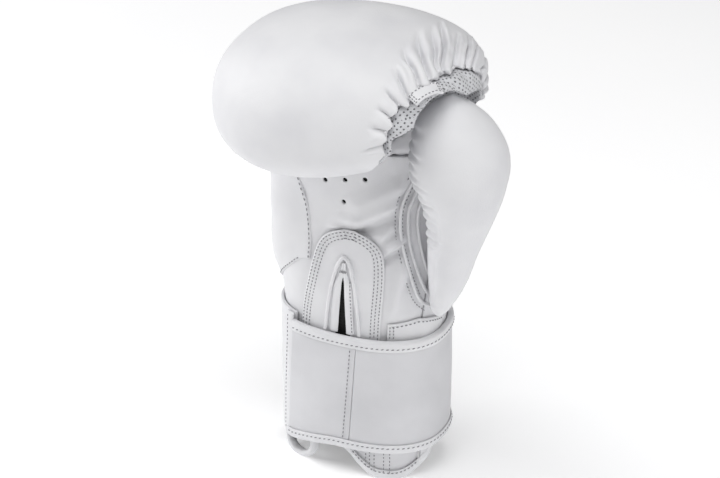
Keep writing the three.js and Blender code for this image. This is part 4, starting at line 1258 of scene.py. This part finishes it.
class GLOVE_OT_strap(bpy.types.Operator):
    """Closing strap: an end panel, a main panel and folded bindings along both edges"""
    bl_idname = "glove.strap"
    bl_label = "Strap"

    def execute(self, context):
        hem = 1.5 + 2 * GAP
        panels = (
            ("strap_end_panel", 40, strap_start, strap_seam, 41),
            ("strap_main", 230, lambda h: strap_seam(h) + 0.12,
             lambda h: STRAP_END - math.degrees(3 * GAP / (CUFF_WIDTH / 2)), 230),
        )
        for name, across, first, last, long in panels:
            def place(u, v, first=first, last=last):
                rough = first(57) + u * (last(57) - first(57))
                drop = corner_drop(rough) * 1.15
                low = strap_foot(rough) + hem + drop
                height = low + v * (STRAP_TOP - hem - drop - low)
                angle = first(height) + u * (last(height) - first(height))
                swell = 0.35 * math.sin(math.pi * v) ** 0.5 * ease(0, 0.05, min(u, 1 - u))
                dent = 0.2 * noise.noise(Vector((angle * 0.06, height * 0.06, 7)))
                return hand_point(angle, height, STRAP_OUT - 0.35 + (swell + dent * math.sin(math.pi * v)))

            piece = to_object(name + "_leather", sheet_mesh(across, 48, place, (long, 82)))
            thicken(piece, STRAP_OUT - STRAP_IN - 0.4, 0.45)
            settle(piece, "strap leather", "strap", name)
        for name, side in (("strap_piping_top", 1), ("strap_piping_bottom", -1)):
            edge = (lambda angle: STRAP_TOP) if side > 0 else strap_foot
            start = strap_start(edge(STRAP_START))
            end = STRAP_END - math.degrees(0.02)
            proud = STRAP_OUT + PIPING_PROUD
            profile = ((STRAP_IN, 0.9), (STRAP_IN + 0.6, 0.15), (STRAP_IN + 2, 0.0), (proud - 1.1, 0.15),
                       (proud - 0.2, 0.9), (proud, 2.4), (proud, 4.6), (proud - 0.15, PIPING))

            def place(u, v, edge=edge, side=side, start=start, end=end, profile=profile):
                angle = start + v * (end - start)
                rim = edge(angle) - side * corner_drop(angle)
                rows = [(i / (len(profile) - 1), a, b) for i, (a, b) in enumerate(profile)]
                return hand_point(angle, rim - side * between(rows, 2, u), between(rows, 1, u))

            piece = to_object(name + "_leather", sheet_mesh(16, 300, place, (8, 270)))
            thicken(piece, 0.7, 0)
            settle(piece, "folded binding leather", "binding", name)
            angles = [start + 1 + k * (end - start - 2) / 160 for k in range(161)]
            row = [hand_point(a, edge(a) - side * (corner_drop(a) + PIPING - 2.2), proud) for a in angles]
            sew(row, hand_facing, pitch=3.1, slant=0.25)
        row = [hand_point(strap_seam(h) - 3.0, h, STRAP_OUT + 0.1) for h in range(28, 93, 2)]
        sew(row, hand_facing, pitch=2.9)
        return {"FINISHED"}


class GLOVE_OT_lining(bpy.types.Operator):
    """Black woven lining of the hand's room"""
    bl_idname = "glove.lining"
    bl_label = "Lining"

    def execute(self, context):
        bm = bmesh.new()
        bm.from_mesh(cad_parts["lining"].data)
        bmesh.ops.remove_doubles(bm, verts=bm.verts, dist=1e-5)
        bmesh.ops.subdivide_edges(bm, edges=bm.edges[:], cuts=2, use_grid_fill=True)
        piece = to_object("lining_cloth", bm)
        emboss(piece, lambda point, normal: 0.12 * noise.noise(point * 80))
        settle(piece, "black woven lining", "lining", "lining")
        return {"FINISHED"}


class GLOVE_OT_stitching(bpy.types.Operator):
    """All the rows of stitches, as one mesh of threads"""
    bl_idname = "glove.stitching"
    bl_label = "Stitching"

    def execute(self, context):
        width = context.scene.glove_sizes.thread_width
        bm = bmesh.new()
        for place, along, out, length in THREADS:
            across = out.cross(along).normalized()
            turn = Matrix((along, across, along.cross(across))).transposed().to_4x4()
            size = Matrix.Diagonal((length / 2 * MM, width / 2 * MM, width / 2.4 * MM, 1))
            bmesh.ops.create_icosphere(bm, subdivisions=1, radius=1.0,
                                       matrix=Matrix.Translation(place) @ turn @ size)
        piece = to_object("stitch_threads", bm)
        settle(piece, "sewing thread darkened as painted shade", "binding")
        return {"FINISHED"}


class GLOVE_OT_stage(bpy.types.Operator):
    """Floor, soft lights and the camera at the photograph's angle"""
    bl_idname = "glove.stage"
    bl_label = "Stage"

    def execute(self, context):
        scene = context.scene
        bm = bmesh.new()
        bmesh.ops.create_grid(bm, x_segments=8, y_segments=8, size=scene.glove_sizes.floor_size / 2)
        floor = to_object("floor", bm)
        floor.data.materials.append(floor_material("seamless paper", scene.glove_colours.floor))
        azimuth = math.radians(CAMERA_AZIMUTH)
        elevation = math.radians(CAMERA_ELEVATION)
        target = Vector((CAMERA_AIM[0] - MIDDLE[0], -MIDDLE[1], CAMERA_AIM[1])) * MM
        level = math.cos(elevation)
        away = Vector((math.sin(azimuth) * level, -math.cos(azimuth) * level, math.sin(elevation)))
        lens = bpy.data.cameras.new("camera")
        lens.sensor_width = SENSOR
        lens.lens = CAMERA_FOCAL * SENSOR
        lens.clip_end = 50
        camera = bpy.data.objects.new("camera", lens)
        camera.location = target + away * CAMERA_DISTANCE
        camera.rotation_euler = away.to_track_quat("Z", "Y").to_euler()
        scene.collection.objects.link(camera)
        scene.camera = camera
        for name, place, size, power in LIGHTS:
            light = bpy.data.lights.new(name, "AREA")
            light.size = size
            light.energy = power
            lamp = bpy.data.objects.new(name, light)
            lamp.location = place
            lamp.rotation_euler = (Vector(place) - LIGHTS_AIM).to_track_quat("Z", "Y").to_euler()
            scene.collection.objects.link(lamp)
        world = bpy.data.worlds.new("studio")
        world.use_nodes = True
        sky = world.node_tree.nodes["Background"]
        sky.inputs["Color"].default_value = linear("#FFFFFF")
        sky.inputs["Strength"].default_value = 0.15
        scene.world = world
        scene.view_settings.view_transform = "Standard"
        return {"FINISHED"}


OPERATORS = (
    GLOVE_OT_stage, GLOVE_OT_fist, GLOVE_OT_palm, GLOVE_OT_side_panel, GLOVE_OT_thumb,
    GLOVE_OT_grip_mesh, GLOVE_OT_thumb_tab, GLOVE_OT_welts, GLOVE_OT_patch, GLOVE_OT_slit,
    GLOVE_OT_cuff, GLOVE_OT_loop, GLOVE_OT_strap, GLOVE_OT_lining, GLOVE_OT_stitching,
)


class GLOVE_PT_panel(bpy.types.Panel):
    """The glove's pieces in the 3D view's sidebar"""
    bl_idname = "GLOVE_PT_panel"
    bl_label = "Boxing Glove"
    bl_space_type = "VIEW_3D"
    bl_region_type = "UI"
    bl_category = "Glove"

    def draw(self, context):
        for group in (context.scene.glove_sizes, context.scene.glove_colours):
            for key in group.__annotations__:
                self.layout.prop(group, key)
        for operator in OPERATORS:
            self.layout.operator(operator.bl_idname)


def register():
    for kind in (GloveSizes, GloveColours, *OPERATORS, GLOVE_PT_panel):
        bpy.utils.register_class(kind)
    bpy.types.Scene.glove_sizes = bpy.props.PointerProperty(type=GloveSizes)
    bpy.types.Scene.glove_colours = bpy.props.PointerProperty(type=GloveColours)


def unregister():
    del bpy.types.Scene.glove_sizes
    del bpy.types.Scene.glove_colours
    for kind in reversed((GloveSizes, GloveColours, *OPERATORS, GLOVE_PT_panel)):
        bpy.utils.unregister_class(kind)


def main():
    register()
    for operator in OPERATORS:
        group, name = operator.bl_idname.split(".")
        getattr(getattr(bpy.ops, group), name)()


if __name__ == "__main__":
    main()
